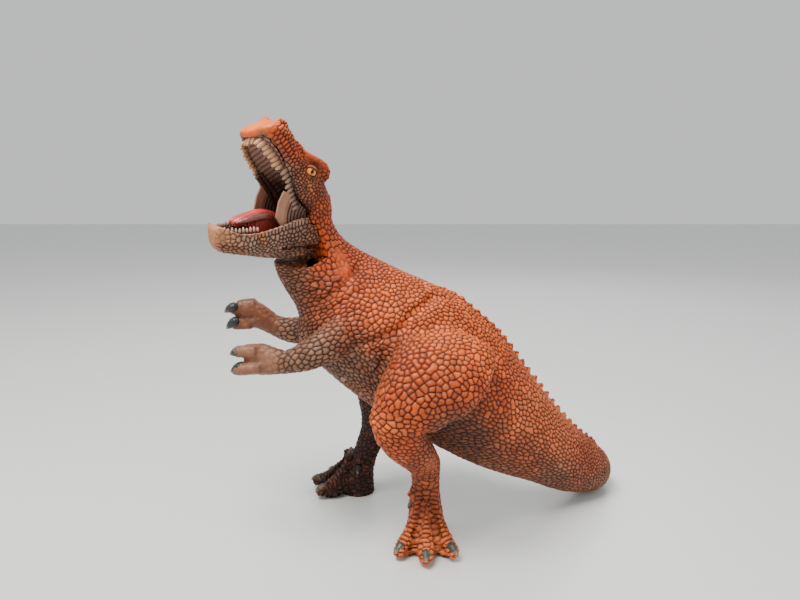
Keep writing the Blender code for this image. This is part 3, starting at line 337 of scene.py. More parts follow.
def near(points, centre, reach):
    """1 at a place, falling smoothly to 0 as the distance passes reach."""
    far = np.linalg.norm(points - np.array(centre, float), axis=1) / reach
    return np.exp(-far * far)


def in_base(base, points):
    """Points of the whole figure in the skull's or the jaw's frame: forward, left and up."""
    turn = np.array(base.inverted())
    return (points * MM) @ turn[:3, :3].T / MM + turn[:3, 3] / MM


def smooth_step(values):
    values = np.clip(values, 0, 1)
    return values * values * (3 - 2 * values)


def lift_lip(points):
    """The upper jaw's twist: left lip up, right lip down. The dip on top of the snout is filled as well."""
    points = np.asarray(points, float)
    x, y, z = in_base(SKULL, points).T
    side = np.clip(y / 11, -1, 1)
    rise = smooth_step((x - 12) / 24) * (1 - smooth_step((z - 4) / 11)) * np.where(side > 0, 4.6, 2.6) * side
    rise += 2.6 * np.exp(-((x - 38) / 7) ** 2) * smooth_step((z - 8) / 5)
    return points + rise[:, None] * np.array(SKULL.to_3x3() @ Vector((0, 0, 1)))


points = points_of(skin)
head_points = in_base(SKULL, points)
is_head = 1 / (1 + np.exp(-(head_points[:, 0] + head_points[:, 2] * 0.4 - 6) / 2.5))
weight = np.clip(1 - 0.92 * is_head, 0.06, 1)
for place, reach in (((-104, -2, 118), 16), ((-92, -54, 107), 16), ((-3, -54, 6), 20), ((-58, 20, 6), 20)):
    weight *= 1 - 0.75 * near(points, place, reach)
for side in (5, -5):
    weight += 0.5 * near(points, in_frame(SKULL, 46.5, side, 13), 4)
set_points(skin, lift_lip(soften(points, edges_of(skin), weight, 26)))
print("softened", len(points), "points")

# %% [markdown]
# ## Creases and swellings
#
# Before the scales come the larger forms: the fold where the thigh meets the flank, the folds of the
# throat, the hollow behind the thigh. Each is a path on the skin. Points near the path move in along their
# normals, and a swelling moves them out.

# %% Carve folds along paths
def distance_to_path(points, path):
    best = np.full(len(points), 1e9)
    for start, end in zip(path[:-1], path[1:]):
        start, end = np.array(start, float), np.array(end, float)
        way = end - start
        share = np.clip((points - start) @ way / (way @ way), 0, 1)
        best = np.minimum(best, np.linalg.norm(points - start - share[:, None] * way, axis=1))
    return best


def carve(points, normals, path, depth, width):
    """Pulls the skin in along a path, by depth at the path itself."""
    far = distance_to_path(points, path) / width
    return points - normals * (depth * np.exp(-far * far))[:, None]


HIP_FOLD = [
    (12, -27, 133.5), (1.1, -31.4, 134.5), (-5.4, -38.2, 130.4), (-11.7, -42.8, 126.1),
    (-19.5, -47.9, 116.3), (-23.3, -48.2, 113.2), (-24.5, -49, 106), (-27.5, -48, 97.4),
]
UNDER_THIGH = [(2, -66, 78), (8, -62, 77), (15, -54, 75), (22, -47, 73)]
FLANK_FOLDS = [
    [(-41, -48, 110), (-36, -47.1, 111.4), (-30.9, -47.8, 113.2), (-25.8, -47.8, 115.2),
     (-20.8, -47.2, 118.7)],
    [(-40, -47, 104), (-35, -47.5, 106), (-30, -48, 108), (-25, -49, 108.5)],
    [(-38, -45, 97), (-33, -47, 100), (-28, -48, 103)],
]
NECK_FOLDS = [
    [(-58.9, -38.8, 132.1), (-54.6, -39.8, 134.3), (-50, -39.9, 137.4), (-44.9, -38.4, 141.9),
     (-40.5, -34.7, 147.1), (-37.7, -29.7, 151.7)],
    [(-57, -40.5, 127), (-51, -42, 129.5), (-45, -42, 133), (-38.5, -40, 138)],
]
THROAT_FOLDS = [
    [(-80, -31, 151), (-73, -35, 149.5), (-66, -38, 151)],
    [(-79, -32, 147), (-72, -36.5, 145.5), (-63, -38.6, 147)],
    [(-76, -33, 142), (-69, -37.3, 141), (-60, -39, 142)],
    [(-73, -34, 137.5), (-66, -38, 136.5), (-57, -40, 138)],
]
HEAD_EDGE = [
    (-58.8, -36.3, 171.8), (-56.8, -33.5, 163.5), (-51.8, -33, 158.3), (-49.2, -33.9, 153.7),
    (-44.5, -36.2, 146.7), (-47, -38.3, 142.9), (-51, -39.1, 140.9),
]
THIGH_REAR = [(12, -40, 121), (22, -42, 115), (29, -48, 107), (31, -51, 98), (29, -52, 90), (25, -53, 83)]

EYE_FOLD = [(27, 12, 12.5), (22.5, 14.4, 14.2), (17, 14.6, 15.2), (13, 14.6, 14.5)]


def mirrored(path, middle=-19.1):
    """The same path on the figure's right side."""
    return [(x, 2 * middle - y, z) for x, y, z in path]


def refine(thing, chosen):
    """Halves every edge between chosen points, and cuts the many-sided faces at the border into triangles."""
    only(thing)
    bpy.ops.object.mode_set(mode="EDIT")
    bpy.ops.mesh.select_mode(type="VERT")
    bpy.ops.mesh.select_all(action="DESELECT")
    bpy.ops.object.mode_set(mode="OBJECT")
    thing.data.vertices.foreach_set("select", chosen)
    bpy.ops.object.mode_set(mode="EDIT")
    bpy.ops.mesh.select_mode(type="EDGE")
    bpy.ops.mesh.subdivide(number_cuts=1)
    bpy.ops.mesh.select_mode(type="FACE")
    bpy.ops.mesh.select_all(action="DESELECT")
    bpy.ops.mesh.select_face_by_sides(number=4, type="GREATER")
    bpy.ops.mesh.quads_convert_to_tris()
    bpy.ops.object.mode_set(mode="OBJECT")


def fill_hollow(points, edges, path, reach, passes):
    """Averages the points near a path until the step there is gone."""
    share = 0.5 * np.exp(-(distance_to_path(points, path) / reach) ** 2)
    for _ in range(passes):
        points = points + share[:, None] * (neighbour_mean(points, edges) - points)
    return points


points, normals = points_of(skin), normals_of(skin)
for path in (THIGH_REAR, mirrored(THIGH_REAR)):
    points = fill_hollow(points, edges_of(skin), path, 7.5, 70)
set_points(skin, points)
normals = normals_of(skin)
for side in (list, mirrored):
    points = carve(points, normals, side(HIP_FOLD), 1.5, 2.2)
    points = carve(points, normals, side(UNDER_THIGH), 2.2, 3.2)
    for fold in FLANK_FOLDS:
        points = carve(points, normals, side(fold), 1.1, 1.8)
    for fold in NECK_FOLDS:
        points = carve(points, normals, side(fold), 0.8, 1.7)
for fold in THROAT_FOLDS:
    points = carve(points, normals, fold, 1.0, 1.1)
    points = carve(points, normals, mirrored(fold, -22.5), 1.0, 1.1)
set_points(skin, points)
remesh(skin, SKIN_GRAIN)
keep_outermost(skin)
HEAD_STARTS = 18
refine(skin, in_base(SKULL, points_of(skin))[:, 0] > HEAD_STARTS)
points, normals = points_of(skin), normals_of(skin)
for path in (HEAD_EDGE, mirrored(HEAD_EDGE, -21.5)):
    points = carve(points, normals, path, 0.7, 0.8)
for path in BETWEEN_TOES:
    points = carve(points, normals, path, 2.6, 1.9)
    points = carve(points, normals, right_foot(path), 2.6, 1.9)
for path in BETWEEN_FINGERS:
    points = carve(points, normals, path, 1.3, 1.1)
for side in (1, -1):
    fold = [in_frame(SKULL, x, side * y, z) for x, y, z in EYE_FOLD]
    points = carve(points, normals, fold, 1.0, 1.0)
set_points(skin, points)
print("fine skin", len(skin.data.vertices), "points")

# %% [markdown]
# ## How big the scales are, and which way they run
#
# The scales change over the body: pebbles on the neck and back, big plates on the thigh, long ones under
# the tail and down the belly, and almost none on the hands. A short table says so at a few places on the
# skin, and every other point takes the mean of its nearest places. Columns: the place, the size of a scale,
# how much longer than wide it is, the way it runs, and how deep the relief is.

# %% Table of scales over the body
SCALES = [
    ((-54, -33, 160), 3.2, 1.1, (0.4, 0, -1), 1.1), ((-54, -36, 152), 3.3, 1.1, (0.4, 0, -1), 1.1),
    ((-49, -31, 156), 3.3, 1.4, (0.4, 0, -1), 0.25), ((-45, -35, 147), 3.3, 1.4, (0.4, 0, -1), 0.25),
    ((-46, -25, 158), 1.9, 1.0, (1, 0, -1), 1.0), ((-38, -28, 150), 2.1, 1.0, (1, 0, -1), 1.0),
    ((-36, -35, 144), 2.5, 1.1, (1, 0, -0.4), 1.0), ((-22, -37, 138), 2.5, 1.1, (1, 0, -0.5), 1.0),
    ((-20, -25, 144), 2.2, 1.1, (1, 0, -0.5), 1.0), ((3, -27, 136), 2.3, 1.1, (1, 0, -0.8), 1.0),
    ((-28, -45, 125), 2.9, 1.1, (0.7, 0, 0.7), 1.0), ((-15, -42, 128), 2.7, 1.1, (0.8, 0, 0.6), 1.0),
    ((-47, -42, 132), 3.1, 1.5, (1, 0, 0.5), 1.0), ((-57, -39, 138), 3.0, 1.7, (1, 0, 0.3), 1.0),
    ((-62, -38, 128), 2.6, 1.9, (1, 0, 0.2), 1.0), ((-68, -37, 143), 2.4, 2.0, (1, 0, 0.2), 1.0),
    ((-75, -35, 147), 2.2, 2.0, (1, 0, 0.2), 1.0), ((-32, -47, 102), 2.6, 1.6, (0.6, 0, -1), 1.0),
    ((-40, -46, 107), 2.5, 1.6, (0.6, 0, -1), 1.0), ((-33, -48, 111), 2.7, 1.3, (1, 0, 0.4), 1.1),
    ((-36, -36, 82), 2.6, 1.6, (0.7, 0, -1), 1.0), ((-28, -20, 68), 2.6, 1.6, (0, 1, 0), 1.0),
    ((-48, -19, 92), 2.6, 1.8, (0, 1, 0), 1.0), ((-63, -19, 122), 2.6, 2.0, (0, 1, 0), 1.0),
    ((-6, -68, 103), 3.8, 1.0, (1, 0, 0.2), 1.1), ((6, -66, 96), 3.3, 1.0, (1, 0, 0.2), 1.0),
    ((3, -54, 116), 3.0, 1.1, (1, 0, 0.3), 1.0), ((-17, -62, 105), 3.1, 1.1, (0.3, 0, 1), 1.0),
    ((-21, -70, 90), 3.6, 1.1, (0.3, 0, 1), 1.1), ((-25, -70, 79), 3.3, 1.7, (1, 0, -0.3), 1.1),
    ((-13, -70, 68), 3.0, 1.5, (1, 0, -0.6), 1.0), ((-6, -62, 56), 2.6, 1.3, (1, 0, -0.4), 0.9),
    ((0, -56, 50), 2.8, 1.2, (1, 0, 0), 0.4), ((-3, -50, 38), 2.6, 1.6, (1, 0, 0), 1.0),
    ((18, -67, 94), 3.0, 1.2, (0.5, 0, -1), 1.0), ((28, -55, 107), 2.6, 1.2, (0.8, 0, -1), 1.0),
    ((20, -34, 119), 2.4, 1.2, (1, 0, -1), 1.0), ((50, -33, 68), 2.9, 1.2, (1, 0.3, -0.9), 1.0),
    ((36, -39, 80), 2.7, 1.2, (1, 0, -0.8), 1.0), ((51, -30, 44), 3.0, 1.7, (1, 0.4, -0.5), 1.0),
    ((75, -15, 54), 2.6, 1.3, (1, 0.5, -1), 1.0), ((97, -3, 26), 2.3, 1.2, (1, 0.5, -0.5), 0.9),
    ((112, 30, 14), 2.1, 1.2, (0.4, 1, 0), 0.9), ((22, -39, 56), 2.6, 2.2, (1, 0, -0.3), 1.1),
    ((8, -60, 74), 2.6, 1.8, (1, 0, -0.3), 1.0), ((40, -15, 36), 2.8, 2.2, (1, 0.2, -0.4), 1.0),
    ((10, -19, 50), 2.8, 2.0, (1, 0, -0.4), 1.0), ((75, 10, 22), 2.6, 2.0, (1, 0.6, -0.3), 0.9),
]
HEAD_SCALES = [
    ((51, 0, 3), 4.0, 1.0, 0.02), ((50, 0, 9), 4.0, 1.0, 0.04), ((50, 8.5, 3), 3.5, 1.0, 0.05),
    ((49, 5, 10), 3.5, 1.0, 0.06), ((50, 6, 6), 3.5, 1.0, 0.05), ((47, 4, 14), 2.6, 1.0, 0.15),
    ((46, 11, 2), 2.6, 0.42, 0.6), ((40, 11.6, 2), 2.6, 0.42, 0.7), ((33, 12.5, 2), 2.6, 0.42, 0.8),
    ((45, 9, 12), 2.0, 0.6, 0.9), ((44, 10.5, 8), 2.1, 0.55, 1.1), ((38, 11, 8), 2.1, 0.55, 1.2),
    ((36, 10.5, 12), 2.1, 0.6, 1.2), ((31, 10, 11), 2.0, 0.7, 1.1), ((31, 12.5, 6), 1.8, 0.8, 1.1),
    ((25, 13.5, 5), 1.5, 1.0, 1.0), ((24, 14, 1), 1.5, 1.0, 1.0), ((16, 13.5, 2), 1.5, 1.0, 1.0),
    ((16, 14.5, 8), 1.5, 1.0, 0.9), ((11, 15, 8), 1.7, 1.0, 1.0), ((3, 14.5, 6), 2.1, 1.0, 1.0),
    ((-4, 13.5, 4), 2.4, 1.0, 1.0), ((-11, 14.4, -4), 4.0, 1.1, 1.0), ((40, 7, 15.5), 2.4, 1.0, 0.25),
    ((38, 8, 17), 2.8, 1.0, 0.12), ((31, 8, 15.5), 2.8, 1.0, 0.10), ((27, 11, 16), 3.0, 1.0, 0.05),
    ((24, 11, 19), 3.5, 1.2, 0.04), ((21, 13.5, 16.5), 2.2, 1.0, 0.35),
    ((16.5, 12.7, 21.2), 2.4, 1.2, 0.30), ((12, 13, 18), 2.0, 1.0, 0.7), ((14, 14.5, 13), 1.6, 1.0, 0.8),
    ((9, 14, 13), 1.8, 1.0, 0.9), ((36, 0, 15), 2.6, 1.0, 0.3), ((28, 0, 16), 2.6, 1.0, 0.3),
    ((8, 0, 18), 2.4, 1.0, 0.8), ((0, 0, 14), 2.2, 1.0, 0.9), ((43, 9.5, -2), 2.4, 0.8, 0.5),
    ((36, 10, -2.5), 2.4, 0.8, 0.5), ((28, 11, -3), 2.4, 0.8, 0.5), ((42, 0, 3), 4.0, 1.0, 0.0),
    ((28, 0, 3), 4.0, 1.0, 0.0), ((14, 0, 1), 4.0, 1.0, 0.0), ((4, 0, -6), 4.0, 1.0, 0.0),
]
UPPER_LIP = [(48, 9.5, 3), (45, 10.6, 3.2), (40, 11.6, 3.2), (34, 12.3, 3), (29, 13, 3)]
LIMB_SCALES = [
    ((-50, -51, 119), 3.2, 1.3, (1, 0, 0.4), 1.0), ((-64, -53, 112), 3.0, 1.3, (1, 0, 0.4), 1.0),
    ((-72, -54, 107), 2.8, 1.3, (0, 0, 1), 0.9), ((-82, -54, 106), 3.4, 1.2, (1, 0, 0), 0.2),
    ((-92, -53, 107), 3.2, 1.2, (1, 0, 0), 0.12), ((-68, -2, 113), 2.8, 1.3, (1, 0, -0.4), 1.0),
    ((-78, -2, 114), 2.7, 1.3, (1, 0, -0.4), 1.0), ((-92, -2, 115), 3.4, 1.2, (1, 0, 0), 0.2),
    ((-104, -2, 118), 3.2, 1.2, (1, 0, 0), 0.12), ((-3, -48, 30), 3.5, 2.0, (1, 0, 0), 1.0),
    ((-3, -50, 20), 3.6, 2.2, (1, 0, 0), 1.0), ((-12, -54, 12), 4.3, 3.8, (0.84, -0.55, 0), 1.1),
    ((-16, -59, 8), 4.3, 3.8, (0.84, -0.55, 0), 1.1), ((-3, -57, 14), 4.4, 3.8, (1, 0, 0), 1.1),
    ((-3.5, -65, 9), 4.4, 3.8, (1, 0, 0), 1.1), ((6, -53, 12), 4.3, 3.8, (0.87, 0.49, 0), 1.1),
    ((10, -59, 8), 4.3, 3.8, (0.87, 0.49, 0), 1.1), ((0, -38, 20), 3.0, 1.4, (1, 0, 0), 0.9),
    ((-40, 10, 40), 2.4, 1.3, (1, 0, 0), 1.0), ((-38, 12, 60), 2.7, 1.3, (1, 0, 0), 1.0),
    ((-36, 12, 84), 3.2, 1.3, (1, 0, 0), 1.0), ((-20, 26, 100), 4.2, 1.1, (1, 0, 0), 1.0),
    ((-42, 16, 20), 2.6, 1.5, (0, 1, 0), 1.0), ((-58, 29, 12), 4.3, 3.8, (0.64, 0.77, 0), 1.1),
    ((-62, 20, 14), 4.4, 3.8, (0.1, 1, 0), 1.1), ((-69, 21, 9), 4.4, 3.8, (0.1, 1, 0), 1.1),
    ((-57, 11, 12), 4.3, 3.8, (-0.4, 0.92, 0), 1.1), ((-52, 20, 20), 3.6, 2.2, (0.1, 1, 0), 1.0),
]


def tail_bend(x):
    """Where the middle plane of trunk and tail lies at this x: straight to the hips, then to the right."""
    return np.interp(x, [50, 64, 78, 92, 108, 120], [-19.1, -13, -7, -1, 7, 15])


def sided(base, place):
    """A place in the skull's or the jaw's frame, left and right, as places on the finished figure."""
    both = np.array([in_frame(base, place[0], side * place[1], place[2]) for side in (1, -1)])
    return [tuple(row) for row in (lift_lip(both) if base is SKULL else both)]


def both_sides(base, table, way):
    """Rows of a table in the skull's or the jaw's frame, for its left and its right side."""
    turned = tuple(base.to_3x3() @ Vector(way))
    return [(place, *row[1:3], turned, row[3]) for row in table for place in sided(base, row[0])]


def scale_places():
    """Every row of the tables as place, size, stretch, way and relief, with the body's rows on both sides."""
    rows = []
    for place, size, stretch, way, relief in SCALES:
        rows.append((place, size, stretch, way, relief))
        across = 2 * float(tail_bend(place[0])) - place[1]
        rows.append(((place[0], across, place[2]), size, stretch, (way[0], -way[1], way[2]), relief))
    return rows + both_sides(SKULL, HEAD_SCALES, (1, 0, -0.1)) + LIMB_SCALES


def blend_rows(points, places, values):
    """Each point's mean of the values at its nearest places, near ones counting for more."""
    count = 4
    places = np.array(places, float)
    values = np.array(values, float)
    result = np.empty((len(points), values.shape[1]))
    for start in range(0, len(points), 20000):
        part = points[start:start + 20000]
        far = np.linalg.norm(part[:, None] - places[None], axis=2)
        nearest = np.argpartition(far, count, axis=1)[:, :count]
        share = 1 / (np.take_along_axis(far, nearest, axis=1) ** 2.5 + 1)
        share /= share.sum(axis=1, keepdims=True)
        result[start:start + 20000] = (values[nearest] * share[:, :, None]).sum(axis=1)
    return result


def unit(vectors):
    return vectors / np.maximum(np.linalg.norm(vectors, axis=-1, keepdims=True), 1e-9)


def scale_fields(points, normals, rows):
    """Size, stretch, the way along the skin and relief, for every point."""
    values = [(size, stretch, *way, relief) for _, size, stretch, way, relief in rows]
    mixed = blend_rows(points, [row[0] for row in rows], values)
    way = mixed[:, 2:5]
    way = unit(way - normals * (way * normals).sum(axis=1)[:, None])
    return mixed[:, 0], mixed[:, 1], way, mixed[:, 5]


print("places", len(scale_places()))

# %% [markdown]
# ## Sowing the scales
#
# A scale is a cell round a seed. Seeds that are strewn at random would clump, so a new one is taken only
# where no older one is closer than about the size of a scale there. Some seeds are planned, not strewn: the
# knobs down the back and the broad bands over the toes stand in rows on the real toy.
#
# Distance is measured in the scale's own shape: along the way it runs it counts for less, across it for
# more.

# %% Sow seeds over a skin
def squeeze(offsets, size, stretch, way):
    """Offsets in units of the local scale, shorter along the way it runs."""
    along = (offsets * way).sum(axis=-1, keepdims=True) * way
    wide = np.sqrt(stretch)[..., None]
    return (offsets - along) * wide / size[..., None] + along / (wide * size[..., None])


def sow(points, normals, fields, planned, count, seed):
    """Indices of points that become seeds: the planned ones, and then as many more as there is room for."""
    size, stretch, way, _ = fields
    rng = np.random.default_rng(seed)
    order = rng.permutation(len(points))[:count]
    order = np.concatenate([np.array(planned, int), order])
    room = rng.uniform(0.46, 1.0, len(order))
    pitch = float(size.max()) * 1.15
    boxes = np.floor(points / pitch).astype(int)
    taken, chosen = {}, []
    steps = [(a, b, c) for a in (-1, 0, 1) for b in (-1, 0, 1) for c in (-1, 0, 1)]
    for number, index in enumerate(order):
        box = tuple(boxes[index])
        others = [other for a, b, c in steps for other in taken.get((box[0] + a, box[1] + b, box[2] + c), ())]
        if others and number >= len(planned):
            offset = points[others] - points[index]
            along = offset @ way[index]
            across = (offset * offset).sum(axis=1) - along * along
            reach = (across * stretch[index] + along * along / stretch[index]) / size[index] ** 2
            facing = normals[others] @ normals[index]
            if (reach + (facing < 0) < room[number]).any():
                continue
        taken.setdefault(box, []).append(index)
        chosen.append(index)
    return np.array(chosen)


def tree_of(places):
    tree = KDTree(len(places))
    for number, place in enumerate(places):
        tree.insert(place, number)
    tree.balance()
    return tree


def nearest_seeds(points, seeds, count):
    tree = tree_of(seeds)
    found = np.empty((len(points), count), np.int64)
    for number, point in enumerate(points):
        found[number] = [hit[1] for hit in tree.find_n(point, count)]
    return found


# %% [markdown]
# ## From seeds to plates
#
# A point belongs to its nearest seed, and the groove between two scales runs where two seeds are equally
# near. The distance to that line shapes the plate: zero in the groove, rising fast, then almost flat.
# Points that lie almost on the line are moved onto it first, so that a groove is a clean line of mesh edges
# and not a row of beads.

# %% Cells of a skin
def pair_some(seeds, keep, share, seed):
    """Lets some strewn seeds share a cell with their nearest neighbour, for a few long or bent scales."""
    rng = np.random.default_rng(seed)
    partner = nearest_seeds(seeds, seeds, 2)[:, 1]
    group = np.arange(len(seeds))
    for number in np.flatnonzero(rng.uniform(size=len(seeds)) < share):
        other = partner[number]
        if min(number, other) >= keep and group[number] == number and group[other] == other:
            group[number] = other
    return group


def cells(points, normals, fields, seeds, seed_normals, group):
    """For each point: its cell, the distance to the groove, that distance softened, and the step onto it."""
    size, stretch, way, _ = fields
    count = 9
    near_seeds = nearest_seeds(points, seeds, count)
    cell = np.empty(len(points), np.int64)
    hard, soft, step = np.empty(len(points)), np.empty(len(points)), np.empty((len(points), 3))
    for start in range(0, len(points), 40000):
        part = slice(start, start + 40000)
        found = near_seeds[part]
        many = (found.shape[0], count)
        part_size = np.broadcast_to(size[part, None], many)
        part_stretch = np.broadcast_to(stretch[part, None], many)
        part_way = np.broadcast_to(way[part, None], (*many, 3))
        offset = seeds[found] - points[part, None]
        shaped = squeeze(offset, part_size, part_stretch, part_way)
        turned = 1 - (seed_normals[found] * normals[part, None]).sum(axis=2)
        reach = (shaped * shaped).sum(axis=2) + 0.6 * turned
        first = reach.argmin(axis=1)[:, None]
        best = np.take_along_axis(reach, first, axis=1)
        best_offset = np.take_along_axis(offset, first[:, :, None], axis=1)
        between = squeeze(best_offset - offset, part_size, part_stretch, part_way)
        slope = squeeze(between, part_size, part_stretch, part_way)
        steep = np.linalg.norm(slope, axis=2)
        gap = (reach - best) / 2 / np.maximum(steep, 1e-9)
        own = np.take_along_axis(found, first, axis=1)
        gap = np.where(group[found] == group[own], 1e9, gap)
        second = gap.argmin(axis=1)[:, None]
        least = np.take_along_axis(gap, second, axis=1)[:, 0]
        hard[part] = least
        soft[part] = -0.22 * np.log(np.exp(-(gap - least[:, None]) / 0.22).sum(axis=1)) + least
        direction = np.take_along_axis(slope, second[:, :, None], axis=1)[:, 0]
        step[part] = -unit(direction) * least[:, None]
        cell[part] = group[own[:, 0]]
    return cell, hard, np.maximum(soft, 0), step


def snap_to_grooves(points, normals, hard, step, reach):
    """Moves points that lie within reach of a groove onto it, along the skin."""
    along = step - normals * (step * normals).sum(axis=1)[:, None]
    return points + along * (0.92 * (hard < reach))[:, None]


BIG_PLATE = 4.4  # a plate stands no higher than one of this size
SUNK = 0.33  # part of a plate's size by which the skin is lowered first
SNAP = 0.34  # reach of a groove, in grains of the mesh
PAIRED = 0.08  # part of the seeds that share a cell
RELAX = 0.45  # part of the way to the middle of its cell
SOLE = 0.35  # skin below this height stands on the floor and keeps flat
SOFT_SHARE = 0.35  # part of the softened distance in what the paint gets


def plate_relief(distance, size, cell, share, seed):
    """Height over the lowest groove: a quick rise, a soft crown, and a little more or less on each scale."""
    rng = np.random.default_rng(seed)
    lift = rng.uniform(-0.14, 0.14, cell.max() + 1)[cell]
    rise = 1 - np.exp(-(distance / (0.18 + 0.03 * size)) ** 1.3)
    crown = 1 - np.exp(-distance / (0.30 * size))
    return np.minimum(size, BIG_PLATE) * share * (0.17 * rise + 0.16 * crown + 0.26 * lift * rise)


# %% [markdown]
# ## The scales of body, tail, head and limbs
#
# The planned seeds are the knobs of the back, the bands of the toes from each ankle to its claw, and a row
# along the upper lip.

# %% Plan the rows of knobs and toe bands
RIDGE_KNOBS = [
    (51.5, -10.0, 91.3), (47.6, -11.8, 96.5), (43.9, -13.4, 101.5), (40.3, -14.9, 106.2),
    (36.6, -16.4, 110.4), (32.8, -17.7, 114.3), (29.0, -18.7, 118.1), (24.9, -19.3, 122.1),
    (20.8, -19.3, 126.1), (16.6, -19.1, 129.8), (12.0, -19.1, 133.0), (7.1, -19.1, 135.6),
    (55.6, -8.0, 86.0), (59.8, -5.9, 80.5), (64.1, -3.7, 75.0), (68.3, -1.5, 69.5), (72.5, 0.8, 64.0),
    (76.7, 3.1, 58.8), (81.0, 5.3, 53.7), (85.3, 7.5, 49.0), (89.5, 9.8, 44.5), (93.8, 12.1, 40.4),
    (98.2, 14.5, 36.7), (102.1, 17.2, 33.3), (105.3, 20.8, 29.8), (107.7, 25.2, 26.4), (109.0, 30.5, 23.1),
]


def band_line(toe):
    """The line along the top of a toe, up the front of the foot."""
    line = []
    for x, y, z, radius in toe:
        upright = min(z / 30, 1)
        line.append((x, y - radius * (0.5 + 0.5 * upright), z + 0.87 * radius * (1 - upright)))
    return line


TOES = [band_line(toe) for toe in LEFT_TOES]
TOES += [right_foot(toe) for toe in TOES]


def walk(path, pitch):
    """Places along a path, one every pitch."""
    path = np.array(path, float)
    lengths = np.linalg.norm(np.diff(path, axis=0), axis=1)
    whole = np.concatenate([[0], lengths.cumsum()])
    marks = np.arange(pitch / 2, whole[-1], pitch)
    return [[float(np.interp(mark, whole, path[:, axis])) for axis in range(3)] for mark in marks]


def lip_row(base, path, pitch):
    """Seeds along a lip, on both sides."""
    return [place for middle in walk(path, pitch) for place in sided(base, middle)]


def planned_seeds(points, places):
    tree = tree_of(points)
    return [tree.find(place)[1] for place in places]


# %% Raise the scales
def relax(points, normals, seeds, seed_normals, fields, keep):
    """Moves each strewn seed towards the middle of its cell, which makes the cells a little more even."""
    sample = slice(None, None, 3)
    alone = np.arange(len(seeds))
    some_fields = tuple(field[sample] for field in fields)
    cell = cells(points[sample], normals[sample], some_fields, seeds, seed_normals, alone)[0]
    count = np.bincount(cell, minlength=len(seeds))
    moved = np.stack([np.bincount(cell, points[sample][:, axis], len(seeds)) for axis in range(3)], axis=1)
    moved = np.where(count[:, None] > 2, moved / np.maximum(count, 1)[:, None], seeds)
    moved[:keep] = seeds[:keep]
    return seeds + RELAX * (moved - seeds)


def raise_scales(thing, rows, places, count, seed, grain):
    """Sows, shapes and raises the scales of one skin, and returns what the paint needs."""
    points, normals = points_of(thing), normals_of(thing)
    fields = scale_fields(points, normals, rows)
    planned = planned_seeds(points, places)
    chosen = sow(points, normals, fields, planned, count, seed)
    seeds, seed_normals = points[chosen], normals[chosen]
    seeds = relax(points, normals, seeds, seed_normals, fields, len(planned))
    group = pair_some(seeds, len(planned), PAIRED, seed + 2)
    cell, hard, soft, step = cells(points, normals, fields, seeds, seed_normals, group)
    points = snap_to_grooves(points, normals, hard, step, SNAP * grain)
    cell, hard, soft, step = cells(points, normals, fields, seeds, seed_normals, group)
    relief = plate_relief(soft, fields[0], cell, fields[3], seed + 1)
    lowered = relief - np.minimum(fields[0], BIG_PLATE) * fields[3] * SUNK
    sole = points[:, 2] < SOLE
    points = points + normals * np.where(sole, 0, lowered)[:, None]
    points[:, 2] = np.where(sole, 0, np.maximum(points[:, 2], 0))
    set_points(thing, points)
    print(thing.name, len(points), "points", len(chosen), "scales", len(planned), "planned")
    return points, cell, SOFT_SHARE * soft + (1 - SOFT_SHARE) * hard, fields


BAND_PITCH, LIP_PITCH = 2.35, 1.9
planned = RIDGE_KNOBS + [place for toe in TOES for place in walk(toe, BAND_PITCH)]
planned += lip_row(SKULL, UPPER_LIP, LIP_PITCH)
strewn = 200000
points, cell, soft, fields = raise_scales(skin, scale_places(), planned, strewn, 7, SKIN_GRAIN)

# %% [markdown]
# ## Paint
#
# The toy is moulded in one colour and then painted: orange above, grey-brown on belly, arms and jaw, and a
# dark wash that stays in the grooves. The base paint is blended from a short table of places, as the scales
# are, and kept on the mesh as a colour attribute, so that one material can follow it. The table paints light
# and shade in as well: lighter orange on back, shoulders, snout, tail and near foot, partly painted light
# from above; painted shade under the belly, thigh and tail, on the far hand, under the cheek and in the fold
# over the eye; a dark brown on the far leg that is partly painted shade; and near-black painted shade deep
# in the mouth. The groove and the crown of each scale are kept as numbers.

# %% Paint table and attributes
def paint(red, green, blue):
    """A colour of the usual 0 to 255 kind, as the linear values that Blender works with."""
    return tuple(((value / 255 + 0.055) / 1.055) ** 2.4 if value > 10 else value / 3294
                 for value in (red, green, blue))


